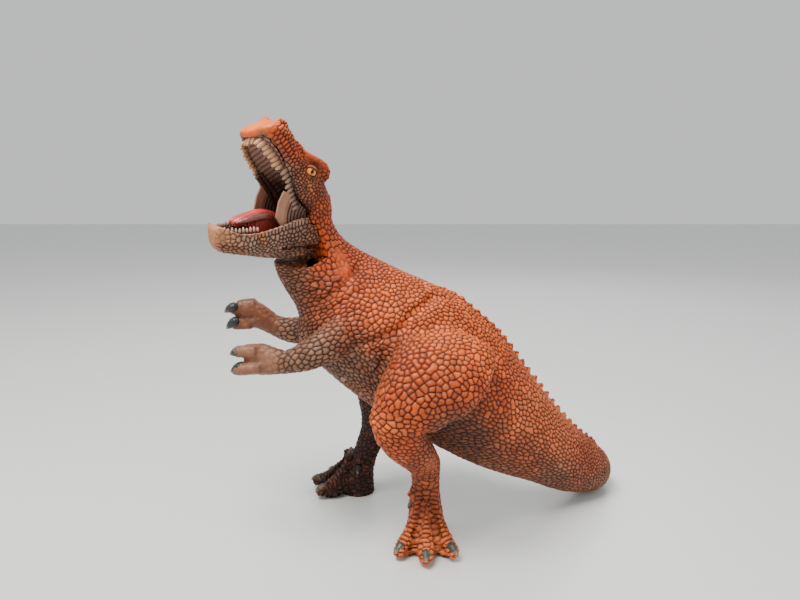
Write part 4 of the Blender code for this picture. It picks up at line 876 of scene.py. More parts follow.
ORANGE = paint(180, 70, 18)
# Lighter orange on the back, shoulders, thigh top and snout sides: partly the paint's own tone, partly
# painted light from above.
LIGHT_ORANGE_PAINTED_LIGHT = paint(208, 92, 30)
# Brightest orange on the top of the snout: partly the paint's own tone, partly painted light from above.
NOSE_ORANGE_PAINTED_LIGHT = paint(246, 106, 20)
RED_BROWN = paint(156, 72, 36)
EARTH = paint(138, 84, 56)
GREY = paint(126, 86, 64)
PINK_GREY = paint(128, 84, 62)
# Painted shade: a brown laid under the belly, thigh and tail, on the far hand and under the cheek.
PAINTED_SHADE_BROWN = paint(104, 58, 36)
# Lighter orange on the upper tail and the near foot: partly the paint's own tone, partly painted light.
TAIL_ORANGE_PAINTED_LIGHT = paint(196, 96, 46)
THIGH_ORANGE = paint(168, 66, 15)
# Dark brown on the far leg, partly its own paint and partly painted shade; painted shade in the fold over the
# eye.
DARK_BROWN_AND_SHADE = paint(50, 22, 10)
LIP_GREY = paint(160, 122, 102)
MOUTH_BROWN = paint(66, 42, 34)
# Near-black painted shade deep in the mouth and on the jaw's floor.
MOUTH_SHADE_BLACK = paint(14, 6, 6)
YELLOW_BROWN = paint(200, 122, 64)
PAINT = [
    ((-54, -33, 160), ORANGE), ((-46, -27, 156), ORANGE), ((-36, -35, 144), ORANGE),
    ((3, -27, 136), LIGHT_ORANGE_PAINTED_LIGHT), ((-22, -37, 138), LIGHT_ORANGE_PAINTED_LIGHT), ((-28, -45, 125), LIGHT_ORANGE_PAINTED_LIGHT),
    ((-15, -42, 128), LIGHT_ORANGE_PAINTED_LIGHT), ((-47, -42, 132), ORANGE), ((-59, -38, 150), ORANGE),
    ((-57, -39, 138), RED_BROWN), ((-62, -38, 128), RED_BROWN), ((-66, -30, 124), EARTH),
    ((-68, -19, 122), GREY), ((-66, -37, 148), EARTH), ((-74, -35, 148), EARTH), ((-70, -36, 138), EARTH),
    ((-32, -47, 102), EARTH), ((-40, -46, 107), GREY), ((-48, -40, 98), GREY), ((-36, -36, 82), EARTH),
    ((-33, -48, 111), RED_BROWN), ((-44, -45, 112), EARTH), ((-27, -49, 100), PAINTED_SHADE_BROWN),
    ((-48, -19, 92), GREY), ((-28, -20, 68), EARTH), ((-10, -22, 60), PAINTED_SHADE_BROWN),
    ((-22, -48, 112), RED_BROWN), ((-6, -68, 103), THIGH_ORANGE), ((3, -54, 116), LIGHT_ORANGE_PAINTED_LIGHT),
    ((-17, -62, 105), THIGH_ORANGE), ((-21, -70, 90), THIGH_ORANGE), ((-25, -70, 79), LIGHT_ORANGE_PAINTED_LIGHT),
    ((-13, -70, 68), ORANGE), ((-1, -56, 50), RED_BROWN), ((-3, -50, 38), RED_BROWN),
    ((18, -67, 94), ORANGE), ((28, -55, 107), LIGHT_ORANGE_PAINTED_LIGHT), ((20, -34, 119), LIGHT_ORANGE_PAINTED_LIGHT),
    ((50, -33, 68), TAIL_ORANGE_PAINTED_LIGHT), ((36, -39, 80), ORANGE), ((51, -30, 44), RED_BROWN),
    ((75, -15, 54), TAIL_ORANGE_PAINTED_LIGHT), ((97, -3, 26), RED_BROWN), ((100, 3, 12), EARTH),
    ((22, -39, 56), PAINTED_SHADE_BROWN), ((8, -60, 74), PAINTED_SHADE_BROWN), ((40, -15, 36), EARTH),
    ((75, 10, 22), GREY), ((10, -19, 50), PAINTED_SHADE_BROWN), ((108, 25, 26), ORANGE), ((112, 30, 12), EARTH),
    ((16, -52, 73), PAINTED_SHADE_BROWN), ((0, -50, 70), PAINTED_SHADE_BROWN),
]
LIMB_PAINT = [
    ((-42, -50, 119), RED_BROWN), ((-50, -51, 119), EARTH), ((-58, -52, 116), GREY),
    ((-64, -53, 112), GREY), ((-72, -54, 107), GREY), ((-82, -54, 106), PINK_GREY),
    ((-92, -53, 107), PINK_GREY), ((-62, -2, 112), EARTH), ((-78, -2, 114), GREY),
    ((-92, -2, 115), PAINTED_SHADE_BROWN), ((-104, -2, 118), PAINTED_SHADE_BROWN), ((-1, -46, 27), RED_BROWN),
    ((-4, -44, 14), RED_BROWN), ((-10, -50, 6), TAIL_ORANGE_PAINTED_LIGHT), ((-3, -60, 6), TAIL_ORANGE_PAINTED_LIGHT),
    ((5, -52, 6), TAIL_ORANGE_PAINTED_LIGHT), ((-40, 10, 40), DARK_BROWN_AND_SHADE), ((-38, 12, 60), DARK_BROWN_AND_SHADE),
    ((-36, 12, 84), EARTH), ((-20, 30, 100), ORANGE), ((-28, 22, 90), RED_BROWN),
    ((-42, 16, 20), DARK_BROWN_AND_SHADE), ((-53, 26, 6), DARK_BROWN_AND_SHADE), ((-62, 20, 6), DARK_BROWN_AND_SHADE),
    ((-55, 12, 6), DARK_BROWN_AND_SHADE), ((-30, 12, 40), DARK_BROWN_AND_SHADE),
]
HEAD_PAINT = [
    ((51, 0, 3), NOSE_ORANGE_PAINTED_LIGHT), ((50, 8.5, 3), NOSE_ORANGE_PAINTED_LIGHT), ((50, 0, 9), NOSE_ORANGE_PAINTED_LIGHT),
    ((45, 9, 12), LIGHT_ORANGE_PAINTED_LIGHT), ((46, 11, 2), ORANGE), ((40, 11.6, 2), ORANGE), ((38, 11, 8), ORANGE),
    ((33, 12.5, 3), ORANGE), ((31, 10, 13), ORANGE), ((25, 13.5, 5), RED_BROWN), ((24, 14, 1), EARTH),
    ((16, 13.5, 1), EARTH), ((16, 14.5, 7), YELLOW_BROWN), ((22, 14, 9), RED_BROWN),
    ((11, 15, 8), RED_BROWN), ((3, 14.5, 6), ORANGE), ((-4, 13.5, 4), ORANGE), ((-11, 14.4, -4), ORANGE),
    ((36, 5, 15), ORANGE), ((28, 5, 16), ORANGE), ((24, 11, 19), ORANGE), ((15, 11, 21), ORANGE),
    ((14, 14.5, 13), RED_BROWN), ((10, 14.5, 12), RED_BROWN), ((22, 14.5, 13.8), DARK_BROWN_AND_SHADE),
    ((8, 0, 18), ORANGE), ((0, 0, 14), ORANGE), ((24, 12.5, -4), LIP_GREY), ((31, 12, -4), LIP_GREY),
    ((16, 12.5, -5), EARTH), ((38, 10.5, -2.5), PINK_GREY), ((47, 7, -1.5), PINK_GREY),
    ((40, 8.5, -2), MOUTH_BROWN), ((30, 9, -3), MOUTH_BROWN), ((20, 9, -3), MOUTH_BROWN),
    ((10, 9, -5), MOUTH_SHADE_BLACK), ((14, 3, 1), MOUTH_SHADE_BLACK), ((4, 3, -6), MOUTH_SHADE_BLACK),
    ((30, 3, 3), MOUTH_BROWN), ((42, 3, 3), MOUTH_BROWN), ((-2, 3, -16), MOUTH_SHADE_BLACK),
    ((8, 11, -6), PAINTED_SHADE_BROWN),
]


def paint_sides(base, table):
    return [(place, colour) for middle, colour in table for place in sided(base, middle)]


def paint_places():
    rows = []
    for place, colour in PAINT:
        rows.append((place, colour))
        rows.append(((place[0], 2 * float(tail_bend(place[0])) - place[1], place[2]), colour))
    return rows + paint_sides(SKULL, HEAD_PAINT) + LIMB_PAINT


def store_number(thing, name, values):
    layer = thing.data.attributes.new(name, "FLOAT", "POINT")
    layer.data.foreach_set("value", np.asarray(values, np.float32))


def store_colour(thing, name, colours):
    layer = thing.data.attributes.new(name, "FLOAT_COLOR", "POINT")
    opaque = np.concatenate([colours, np.ones((len(colours), 1))], axis=1)
    layer.data.foreach_set("color", opaque.astype(np.float32).ravel())


def paint_skin(thing, points, rows, cell, distance, fields, seed):
    """Stores base paint, groove and crown on a skin; where the relief is flat, no wash stays."""
    rng = np.random.default_rng(seed)
    colours = blend_rows(points, [row[0] for row in rows], [row[1] for row in rows])
    shade = rng.normal(1, 0.13, cell.max() + 1)[cell]
    warm = rng.normal(0, 0.06, cell.max() + 1)[cell]
    raised = smooth_step(fields[3] * 1.5 - 0.12)
    flat = 1 - raised
    shade, warm = shade + flat * (1 - shade), warm * (1 - flat)
    colours = colours * shade[:, None] * np.stack([np.ones_like(warm), 1 + warm, 1 + 2 * warm], axis=1)
    tint(thing, colours, distance, raised, 0.25 * fields[0])


WASH_WIDTH = 0.40


def tint(thing, colours, distance, share=1, crown=0.6):
    """Stores base paint, groove and crown for the paint group."""
    store_colour(thing, "base_paint", np.clip(colours, 0, 1))
    store_number(thing, "groove", share * np.exp(-(distance / WASH_WIDTH) ** 1.6))
    store_number(thing, "crown", 1 - np.exp(-distance / crown))


paint_skin(skin, points, paint_places(), cell, soft, fields, 11)
print("painted", len(points), "points")

# %% [markdown]
# ## Cutting the skin back into mouldings
#
# Each face goes to the CAD solid that it lies nearest to. The faces of one solid become a mesh of their
# own, and the open rims inside the figure, where two mouldings meet, are closed by a fan of triangles. The
# normals of the whole skin are kept on every piece, so that the light shows no line along the joins.

# %% Split a skin by the nearest CAD solid
def nearest_node(points, nodes):
    """For each point, the number of the CAD node whose surface is nearest."""
    sample = points[::4]
    far = []
    for node in nodes:
        mesh = frame["nodes"][node].data
        corners = [vertex.co / MM for vertex in mesh.vertices]
        tree = BVHTree.FromPolygons(corners, [tuple(face.vertices) for face in mesh.polygons])
        far.append([tree.find_nearest(point)[3] for point in sample])
    label = np.array(far).argmin(axis=0)
    tree = tree_of(sample)
    return label[[tree.find(point)[1] for point in points]]


def tidy_labels(label, edges, passes, kinds):
    """Lets each point take the label that most of its neighbours have, so that no stray faces are left."""
    for _ in range(passes):
        votes = np.zeros((len(label), kinds))
        np.add.at(votes, (edges[:, 0], label[edges[:, 1]]), 1)
        np.add.at(votes, (edges[:, 1], label[edges[:, 0]]), 1)
        votes[np.arange(len(label)), label] += 0.5
        label = votes.argmax(axis=1)
    return label


def faces_of(thing):
    """All faces as rows of four points, a triangle's last one being -1."""
    counts = read(thing.data.polygons, "loop_total", 1, np.int64)
    starts = read(thing.data.polygons, "loop_start", 1, np.int64)
    corners = read(thing.data.loops, "vertex_index", 1, np.int64)
    rows = np.full((len(counts), 4), -1)
    for k in range(4):
        has = counts > k
        rows[has, k] = corners[starts[has] + k]
    return rows


def piece_from(source, faces, name, inward):
    """A closed mesh from some of a skin's faces: fans close its rims, and it keeps the skin's normals."""
    used = np.unique(faces[faces >= 0])
    number = np.full(len(source.data.vertices), -1)
    number[used] = np.arange(len(used))
    points = points_of(source)[used]
    normals = normals_of(source)[used]
    polygons = [[int(number[k]) for k in row if k >= 0] for row in faces]
    ahead = {}
    for polygon in polygons:
        for start, end in zip(polygon, polygon[1:] + polygon[:1]):
            if ahead.pop((end, start), None) is None:
                ahead[(start, end)] = True
    following = {}
    for start, end in ahead:
        following.setdefault(start, []).append(end)
    loops, caps, added = [], [], []
    while following:
        start = next(iter(following))
        loop = [start]
        while True:
            ends = following[loop[-1]]
            end = ends.pop()
            if not ends:
                del following[loop[-1]]
            if end == start:
                break
            loop.append(end)
        loops.append(loop)
    middle = points.mean(axis=0)
    for loop in loops:
        centre = points[loop].mean(axis=0)
        centre = centre + unit(middle - centre) * inward
        tip = len(points) + len(added)
        added.append(centre)
        caps += [[end, start, tip] for start, end in zip(loop, loop[1:] + loop[:1])]
    if added:
        points = np.concatenate([points, np.array(added)])
        normals = np.concatenate([normals, np.tile([[0, 0, 1.0]], (len(added), 1))])
    mesh = bpy.data.meshes.new(name)
    mesh.from_pydata((points * MM).tolist(), [], polygons + caps)
    made = bpy.data.objects.new(name, mesh)
    bpy.context.scene.collection.objects.link(made)
    for layer in source.data.attributes:
        if layer.name in ("base_paint", "groove", "crown"):
            wide = 4 if layer.data_type == "FLOAT_COLOR" else 1
            key = "color" if wide == 4 else "value"
            values = np.empty(len(source.data.vertices) * wide, np.float32)
            layer.data.foreach_get(key, values)
            values = values.reshape(-1, wide)[used]
            values = np.concatenate([values, np.zeros((len(added), wide), np.float32)])
            mesh.attributes.new(layer.name, layer.data_type, "POINT").data.foreach_set(key, values.ravel())
    flat = np.zeros(len(polygons) + len(caps), bool)
    flat[len(polygons):] = True
    mesh.polygons.foreach_set("use_smooth", ~flat)
    mesh.normals_split_custom_set_from_vertices(normals.tolist())
    return made, len(loops)


def finished(thing, node, material, body="figure"):
    """Puts a finished piece in a CAD node's place, with its material."""
    thing.data.materials.clear()
    thing.data.materials.append(material)
    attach(thing, body)
    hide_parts(node)


# %% [markdown]
# ## Painted skin as a material
#
# One node group does the paint for every skin: the base paint with a fine mottle, the dark wash in the
# grooves, and patches of lighter paint on the crowns, which stand partly for rubbed paint and partly for a
# painted highlight. Each material places the group with its own colours, and keeps its own shader.

# %% Node group for painted skin
def painted_group():
    group = bpy.data.node_groups.new("painted_skin", "ShaderNodeTree")
    face = group.interface
    for name in ("Paint", "Wash", "Worn_And_Highlight"):
        face.new_socket(name, in_out="INPUT", socket_type="NodeSocketColor")
    for name in ("Groove", "Crown", "Mottle", "Matt", "Wear_And_Highlight"):
        face.new_socket(name, in_out="INPUT", socket_type="NodeSocketFloat")
    face.new_socket("Colour", in_out="OUTPUT", socket_type="NodeSocketColor")
    for name in ("Roughness", "Height"):
        face.new_socket(name, in_out="OUTPUT", socket_type="NodeSocketFloat")
    nodes, links = group.nodes, group.links
    inputs, outputs = nodes.new("NodeGroupInput"), nodes.new("NodeGroupOutput")
    coordinates = nodes.new("ShaderNodeTexCoord")

    def noise(scale, detail):
        made = nodes.new("ShaderNodeTexNoise")
        made.inputs["Scale"].default_value = scale
        made.inputs["Detail"].default_value = detail
        links.new(coordinates.outputs["Object"], made.inputs["Vector"])
        return made.outputs["Fac"]

    def math_node(kind, first, second):
        made = nodes.new("ShaderNodeMath")
        made.operation = kind
        for socket, value in zip(made.inputs, (first, second)):
            if isinstance(value, (int, float)):
                socket.default_value = value
            else:
                links.new(value, socket)
        return made.outputs[0]

    def mix(share, first, second, blend="MIX"):
        made = nodes.new("ShaderNodeMix")
        made.data_type, made.blend_type = "RGBA", blend
        for socket, value in ((made.inputs[0], share), (made.inputs[6], first), (made.inputs[7], second)):
            if isinstance(value, (int, float)):
                socket.default_value = value
            else:
                links.new(value, socket)
        return made.outputs[2]

    fine, broad = noise(1400, 3), noise(160, 4)
    patch = math_node("MULTIPLY", math_node("SUBTRACT", broad, 0.5), inputs.outputs["Mottle"])
    grain = math_node("MULTIPLY", math_node("SUBTRACT", fine, 0.5), 0.25)
    tone = math_node("ADD", 1.0, math_node("ADD", patch, grain))
    toned = mix(1.0, inputs.outputs["Paint"], tone, "MULTIPLY")
    uneven = math_node("ADD", 0.82, math_node("MULTIPLY", broad, 0.4))
    edge = math_node("MULTIPLY", inputs.outputs["Groove"], uneven)
    edge = math_node("MINIMUM", edge, 0.98)
    washed = mix(edge, toned, inputs.outputs["Wash"])
    # Lighter paint on the crowns in patches: partly rubbed paint, partly a painted highlight.
    bare = math_node("MULTIPLY", math_node("GREATER_THAN", broad, 0.56), inputs.outputs["Crown"])
    worn = mix(math_node("MULTIPLY", bare, inputs.outputs["Wear_And_Highlight"]), washed, inputs.outputs["Worn_And_Highlight"])
    links.new(worn, outputs.inputs["Colour"])
    dull = math_node("MULTIPLY", inputs.outputs["Groove"], 0.3)
    rough = math_node("ADD", dull, math_node("MULTIPLY", fine, 0.25))
    links.new(math_node("ADD", inputs.outputs["Matt"], rough), outputs.inputs["Roughness"])
    links.new(fine, outputs.inputs["Height"])
    return group


PAINTED = painted_group()


def attribute(nodes, name, socket):
    made = nodes.new("ShaderNodeAttribute")
    made.attribute_name = name
    return made.outputs[socket]


def painted_material(name, wash, worn, mottle=0.6, matt=0.34, mirror=0.2, bump=0.3, wear=0.14, coat=0.0):
    made = bpy.data.materials.new(name)
    made.use_nodes = True
    nodes, links = made.node_tree.nodes, made.node_tree.links
    shader = nodes["Principled BSDF"]
    paint_node = nodes.new("ShaderNodeGroup")
    paint_node.node_tree = PAINTED
    links.new(attribute(nodes, "base_paint", "Color"), paint_node.inputs["Paint"])
    links.new(attribute(nodes, "groove", "Fac"), paint_node.inputs["Groove"])
    links.new(attribute(nodes, "crown", "Fac"), paint_node.inputs["Crown"])
    paint_node.inputs["Wash"].default_value = (*wash, 1)
    paint_node.inputs["Worn_And_Highlight"].default_value = (*worn, 1)
    paint_node.inputs["Mottle"].default_value = mottle
    paint_node.inputs["Matt"].default_value = matt
    paint_node.inputs["Wear_And_Highlight"].default_value = wear
    links.new(paint_node.outputs["Colour"], shader.inputs["Base Color"])
    links.new(paint_node.outputs["Roughness"], shader.inputs["Roughness"])
    rise = nodes.new("ShaderNodeBump")
    rise.inputs["Strength"].default_value = bump
    rise.inputs["Distance"].default_value = 0.0002
    links.new(paint_node.outputs["Height"], rise.inputs["Height"])
    links.new(rise.outputs["Normal"], shader.inputs["Normal"])
    shader.inputs["Specular IOR Level"].default_value = mirror
    shader.inputs["Coat Weight"].default_value = coat
    shader.inputs["Coat Roughness"].default_value = 0.2
    return made


# The third colour of each material goes on the scale crowns: rubbed paint, and partly a painted highlight.
ORANGE_SKIN = painted_material("painted_orange_skin", paint(28, 3, 1), paint(230, 124, 70), mirror=0.30,
                               matt=0.30)
GREY_SKIN = painted_material("painted_grey_skin", paint(22, 7, 4), paint(196, 146, 118), mirror=0.30,
                             matt=0.30)
MOUTH_SKIN = painted_material("painted_mouth", paint(26, 12, 9), paint(150, 110, 92), wear=0.1)
# The throat's near-black colour is painted shade deep in the mouth.
THROAT = painted_material("throat_painted_shade", paint(8, 2, 2), paint(30, 8, 6), wear=0.05)
TONGUE = painted_material("wet_tongue", paint(60, 6, 6), paint(220, 90, 70), matt=0.16, mirror=0.5, coat=0.4)
TOOTH = painted_material("cream_tooth", paint(64, 34, 24), paint(250, 224, 190), mottle=0.3, matt=0.28,
                         mirror=0.4)
CLAW = painted_material("grey_claw", paint(30, 24, 20), paint(176, 140, 116), matt=0.26, mirror=0.35,
                        wear=0.25)
print("materials", ORANGE_SKIN.name, GREY_SKIN.name)

# %% Cut the skin and put each piece in its place
CHEST_ENDS = -14
label = nearest_node(points_of(skin), SKIN_NODES)
label = tidy_labels(label, edges_of(skin), 12, len(SKIN_NODES))
faces = faces_of(skin)
face_label = label[faces[:, 0]]
front = points_of(skin)[faces[:, 0], 0] < CHEST_ENDS
for number, node in enumerate(SKIN_NODES):
    slot = "grey_skin" if node.endswith("arm") else "orange_skin"
    mine = face_label == number
    halves = [("_chest", mine & front), ("_hips", mine & ~front)] if node == "body_shell" else [("", mine)]
    for suffix, chosen in halves:
        piece, rims = piece_from(skin, faces[chosen], node + suffix + "_skin", 2.0)
        finished(piece, node, GREY_SKIN if slot == "grey_skin" else ORANGE_SKIN)
        print(node + suffix, len(piece.data.polygons), "faces", rims, "rims")
bpy.data.objects.remove(skin)

# %% [markdown]
# ## The lower jaw
#
# The jaw gets its scales as the skin did, from a table in its own frame: small plates on the sides, tall
# ones along the lip, and smooth plastic on the chin and inside.

# %% Scales and paint of the lower jaw
JAW_SCALES = [
    ((50, 1, -12), 4.0, 1.0, 0.02), ((48, 6, -11), 2.8, 1.0, 0.30), ((44, 8, -9), 2.2, 1.0, 0.6),
    ((47, 6, -14), 2.2, 1.2, 0.8), ((40, 9.3, -15), 1.9, 1.3, 0.8), ((38, 10.5, -10.5), 2.6, 0.5, 0.6),
    ((30, 11, -15.4), 1.9, 1.3, 1.0), ((30.5, 13, -8), 2.6, 0.5, 0.9), ((30, 12.5, -11.5), 1.8, 1.2, 1.0),
    ((20, 12.8, -13), 1.9, 1.2, 1.0), ((20, 13.8, -9), 1.9, 1.2, 1.0), ((20, 13.7, -5.2), 2.6, 0.5, 1.0),
    ((9, 13.4, -11), 2.0, 1.2, 1.0), ((10, 14, -6.5), 1.9, 1.2, 1.0), ((10, 14.3, -2.2), 2.6, 0.5, 1.0),
    ((0, 13.6, -6), 2.0, 1.1, 1.0), ((2, 13.6, -2), 2.2, 0.7, 0.8), ((40, 0, -18), 2.4, 1.4, 0.8),
    ((30, 0, -19), 2.4, 1.4, 0.9), ((15, 0, -18), 2.4, 1.4, 0.9), ((40, 0, -10), 4.0, 1.0, 0.0),
    ((30, 0, -11), 4.0, 1.0, 0.0), ((20, 5, -10), 4.0, 1.0, 0.0), ((15, 0, -10), 4.0, 1.0, 0.0),
    ((30, 9, -7), 4.0, 1.0, 0.0), ((20, 10, -5), 4.0, 1.0, 0.0), ((8, 10, -3), 4.0, 1.0, 0.0),
]
JAW_LIP = [
    (3, 14, -1.6), (10, 14.3, -2.6), (20, 13.9, -5.4), (30.5, 13, -8.2), (38, 10.8, -10), (42, 9.2, -10),
]
TAN = paint(158, 102, 66)
PEACH = paint(190, 128, 92)
JAW_GREY = paint(164, 124, 104)
JAW_PAINT = [
    ((50, 1, -12), TAN), ((48, 6, -11), TAN), ((47, 3, -9), PEACH), ((44, 8, -9), PEACH),
    ((47, 6, -14), EARTH), ((40, 9.3, -15), EARTH), ((38, 10.5, -11), JAW_GREY),
    ((30, 11, -15.4), JAW_GREY), ((30.5, 13, -8), YELLOW_BROWN), ((33, 12, -9), JAW_GREY),
    ((27, 13.4, -7.5), LIP_GREY), ((20, 12.8, -13), JAW_GREY), ((20, 13.7, -5.2), LIP_GREY),
    ((9, 13.4, -11), GREY), ((10, 14.3, -2.2), LIP_GREY), ((0, 13.6, -6), EARTH), ((40, 0, -18), EARTH),
    ((30, 0, -19), TAN), ((15, 0, -18), GREY), ((40, 0, -10), PINK_GREY), ((30, 0, -11), MOUTH_BROWN),
    ((15, 0, -10), MOUTH_SHADE_BLACK), ((30, 9, -7), PINK_GREY), ((20, 10, -5), PINK_GREY),
    ((8, 10, -3), MOUTH_BROWN), ((20, 5, -9), MOUTH_BROWN),
]


def smooth_copy(node, name, grain, passes):
    """A fine even copy of a CAD node, with its facets softened."""
    made = copy_of(node, name)
    remesh(made, grain)
    points = points_of(made)
    set_points(made, soften(points, edges_of(made), np.full(len(points), 0.85), passes))
    return made


JAW_GRAIN = 0.42
jaw = smooth_copy("lower_jaw", "lower_jaw_skin", JAW_GRAIN, 12)
jaw_rows = both_sides(JAW, JAW_SCALES, (1, 0, 0))
jaw_lip = lip_row(JAW, JAW_LIP, LIP_PITCH)
points, cell, soft, fields = raise_scales(jaw, jaw_rows, jaw_lip, 60000, 21, JAW_GRAIN)
paint_skin(jaw, points, paint_sides(JAW, JAW_PAINT), cell, soft, fields, 23)
finished(jaw, "lower_jaw", GREY_SKIN, "jaw")

# %% [markdown]
# ## Inside the mouth
#
# The palate has arched ridges across it, and the cheeks are pleated in rings round the hinge, like the
# bellows that lets a real jaw open. Both are grooves pressed in where a phase, which counts the ridges, is
# a whole number.

# %% Palate, cheeks, tongue and throat
def press_ribs(thing, phase, pitch, depth, where):
    """Presses a groove in at each whole number of the phase, and returns how far each point is from one."""
    distance = np.abs(phase - np.round(phase)) * pitch
    deep = depth * where * np.exp(-(distance / (0.24 * pitch)) ** 1.6)
    set_points(thing, points_of(thing) - normals_of(thing) * deep[:, None])
    return distance


def ramp(values, stops):
    """Colours along a number, from stops of number and colour."""
    marks = [stop[0] for stop in stops]
    return np.stack([np.interp(values, marks, [stop[1][k] for stop in stops]) for k in range(3)], axis=1)


palate = smooth_copy("palate", "palate_ridges", 0.36, 6)
local = in_base(SKULL, points_of(palate))
set_points(palate, lift_lip(points_of(palate)))
phase = (local[:, 0] + 0.04 * local[:, 1] ** 2 + 0.25 * np.sin(local[:, 1] * 0.9)) / 2.4
distance = press_ribs(palate, phase, 2.4, 0.42, 1.0)
# Darker towards the back: the palate's grey-brown paint fading into painted shade deep in the mouth.
PALATE = [(8, MOUTH_SHADE_BLACK), (18, MOUTH_BROWN), (28, paint(122, 90, 78)), (44, paint(156, 120, 104))]
tint(palate, ramp(local[:, 0], PALATE), distance, 0.7)
finished(palate, "palate", MOUTH_SKIN)

PLEATS = [
    (4, paint(92, 66, 54)), (15, paint(112, 82, 66)), (18, paint(158, 112, 88)), (26, paint(140, 100, 80)),
]
for side in ("left", "right"):
    web = smooth_copy(side + "_cheek_web", side + "_cheek_pleats", 0.34, 6)
    local = in_base(JAW, points_of(web))
    ring = np.hypot(local[:, 0], local[:, 2])
    phase = (ring + 0.3 * np.sin(2.5 * np.arctan2(local[:, 2], local[:, 0]))) / 1.9
    where = 1 / (1 + np.exp((ring - 16.2) / 0.35))
    distance = press_ribs(web, phase, 1.9, 0.5, where)
    tint(web, ramp(ring, PLEATS), distance, 0.95 * where)
    finished(web, side + "_cheek_web", MOUTH_SKIN)

tongue = smooth_copy("tongue", "tongue_skin", 0.42, 14)
local = in_base(JAW, points_of(tongue))
distance = press_ribs(tongue, (local[:, 1] + 0.25 * np.sin(local[:, 0] * 0.5)) / 3.4, 3.4, 0.5, 1.0)
# The sides of the tongue are painted darker than its top: painted shade on the sides.
low = np.clip((np.abs(local[:, 1]) - 2.8) / 1.8, 0, 1)
WET_RED_SHADED_SIDES = [(0, paint(196, 52, 48)), (0.5, paint(156, 46, 40)), (1, paint(112, 54, 44))]
tint(tongue, ramp(low, WET_RED_SHADED_SIDES), distance, 0.75 * (1 - low))
finished(tongue, "tongue", TONGUE, "jaw")

throat = smooth_copy("throat_cup", "throat_lining", 0.5, 6)
local = in_base(SKULL, points_of(throat))
distance = press_ribs(throat, local[:, 0] / 2.8 + 0.2 * np.sin(local[:, 1]), 2.8, 0.35, 1.0)
# Near-black throat lining: dark mouth paint deepened into painted shade, darkest at the back.
tint(throat, ramp(local[:, 0], [(0, paint(16, 4, 4)), (14, paint(34, 12, 9))]), distance)
finished(throat, "throat_cup", THROAT)

# %% [markdown]
# ## Teeth and lip lumps
#
# One blunt tooth is a sphere drawn out and narrowed towards its tip. The rows are copies of it, each turned
# to stand on its gum: its width runs along the row, and its tip leans inward. Two strips along the right
# lip close a slit under it.

# %% Rows of teeth
bpy.ops.object.select_all(action="DESELECT")
bpy.ops.mesh.primitive_uv_sphere_add(segments=12, ring_count=8, radius=1)
master_tooth = bpy.context.object
for vertex in master_tooth.data.vertices:
    narrow = 1 - 0.45 * (vertex.co.z + 1) / 2
    vertex.co.x *= narrow
    vertex.co.y *= narrow
    vertex.co.z = math.copysign(abs(vertex.co.z) ** 0.75, vertex.co.z)


def stand(base, place, tip, row_way, width, depth, length):
    """A copy of the tooth on its gum."""
    tip = Vector(tip).normalized()
    along = Vector(row_way)
    along = (along - tip * along.dot(tip)).normalized()
    turn = Matrix((along * width / 2, tip.cross(along) * depth / 2, tip * length / 2)).transposed().to_4x4()
    made = master_tooth.copy()
    made.data = master_tooth.data.copy()
    bpy.context.scene.collection.objects.link(made)
    scale = Matrix.Scale(MM, 4)
    made.matrix_world = base @ scale @ Matrix.Translation(Vector(place) + tip * length * 0.4) @ turn
    return made


def row_of(base, gum, pitch, tip, width, depth, length, side):
    """Teeth along a gum line; tip is (forward, inward, up)."""
    places = walk(gum, pitch)
    made = []
    for number, (x, y, z) in enumerate(places):
        x2, y2, z2 = places[min(number + 1, len(places) - 1)]
        x1, y1, z1 = places[max(number - 1, 0)]
        size = 1 + 0.12 * math.sin(2.4 * number)
        leaning = (tip[0], -side * tip[1], tip[2])
        row_way = (x2 - x1, side * (y2 - y1), z2 - z1)
        made.append(stand(base, (x, side * y, z), leaning, row_way, width, depth, length * size))
    return made


def joined(parts, name, shade):
    """Joins copies into one piece and tints it from gum to tip."""
    for part in parts:
        heights = np.array([vertex.co.z for vertex in part.data.vertices])
        store_colour(part, "base_paint", ramp(heights, shade))
        store_number(part, "groove", np.clip(-0.2 - 1.1 * heights, 0, 0.7))
        store_number(part, "crown", np.clip(heights, 0, 1))
    join(parts)
    bpy.ops.object.transform_apply(location=True, rotation=True, scale=True)
    bpy.ops.object.shade_smooth()
    parts[0].name = name
    return parts[0]


UPPER_GUM = [(46.5, 4.5, -0.7), (44.6, 6.6, -1.0), (38, 8.2, -1.3), (29, 8.9, -1.7)]
LOWER_GUM = [(47.5, 3.5, -7.4), (46, 6, -7.4), (40, 8.5, -7.4), (31, 10.2, -6.6)]
LIP_LUMPS = [(29.5, 10.4, -1.2), (24, 11.2, -1.4), (17, 11.6, -2.6), (9, 11.7, -4.0)]
FRONT_GUM = [(47.2, -3.2, -1.4), (47.6, 0, -1.4), (47.2, 3.2, -1.4)]
LIP_RIMS = [
    [(27, -9.6, -1.4, 1.4), (20, -10.0, -1.8, 1.5), (14, -10.2, -2.2, 1.6), (7, -10.4, -2.6, 1.8)],
    [(26, -9.6, -3.8, 1.3), (20, -10.0, -4.2, 1.3), (14, -10.3, -4.8, 1.3), (8, -10.6, -5.4, 1.3)],
]
CREAM = [(-1, paint(104, 68, 52)), (-0.2, paint(162, 114, 84)), (1, paint(212, 162, 118))]
PALE = [(-1, paint(116, 86, 76)), (-0.2, paint(156, 124, 110)), (1, paint(186, 154, 138))]
LUMP = [(-1, paint(70, 52, 44)), (0, paint(128, 100, 84)), (1, paint(160, 126, 104))]
upper, lower, lumps = [], [], []
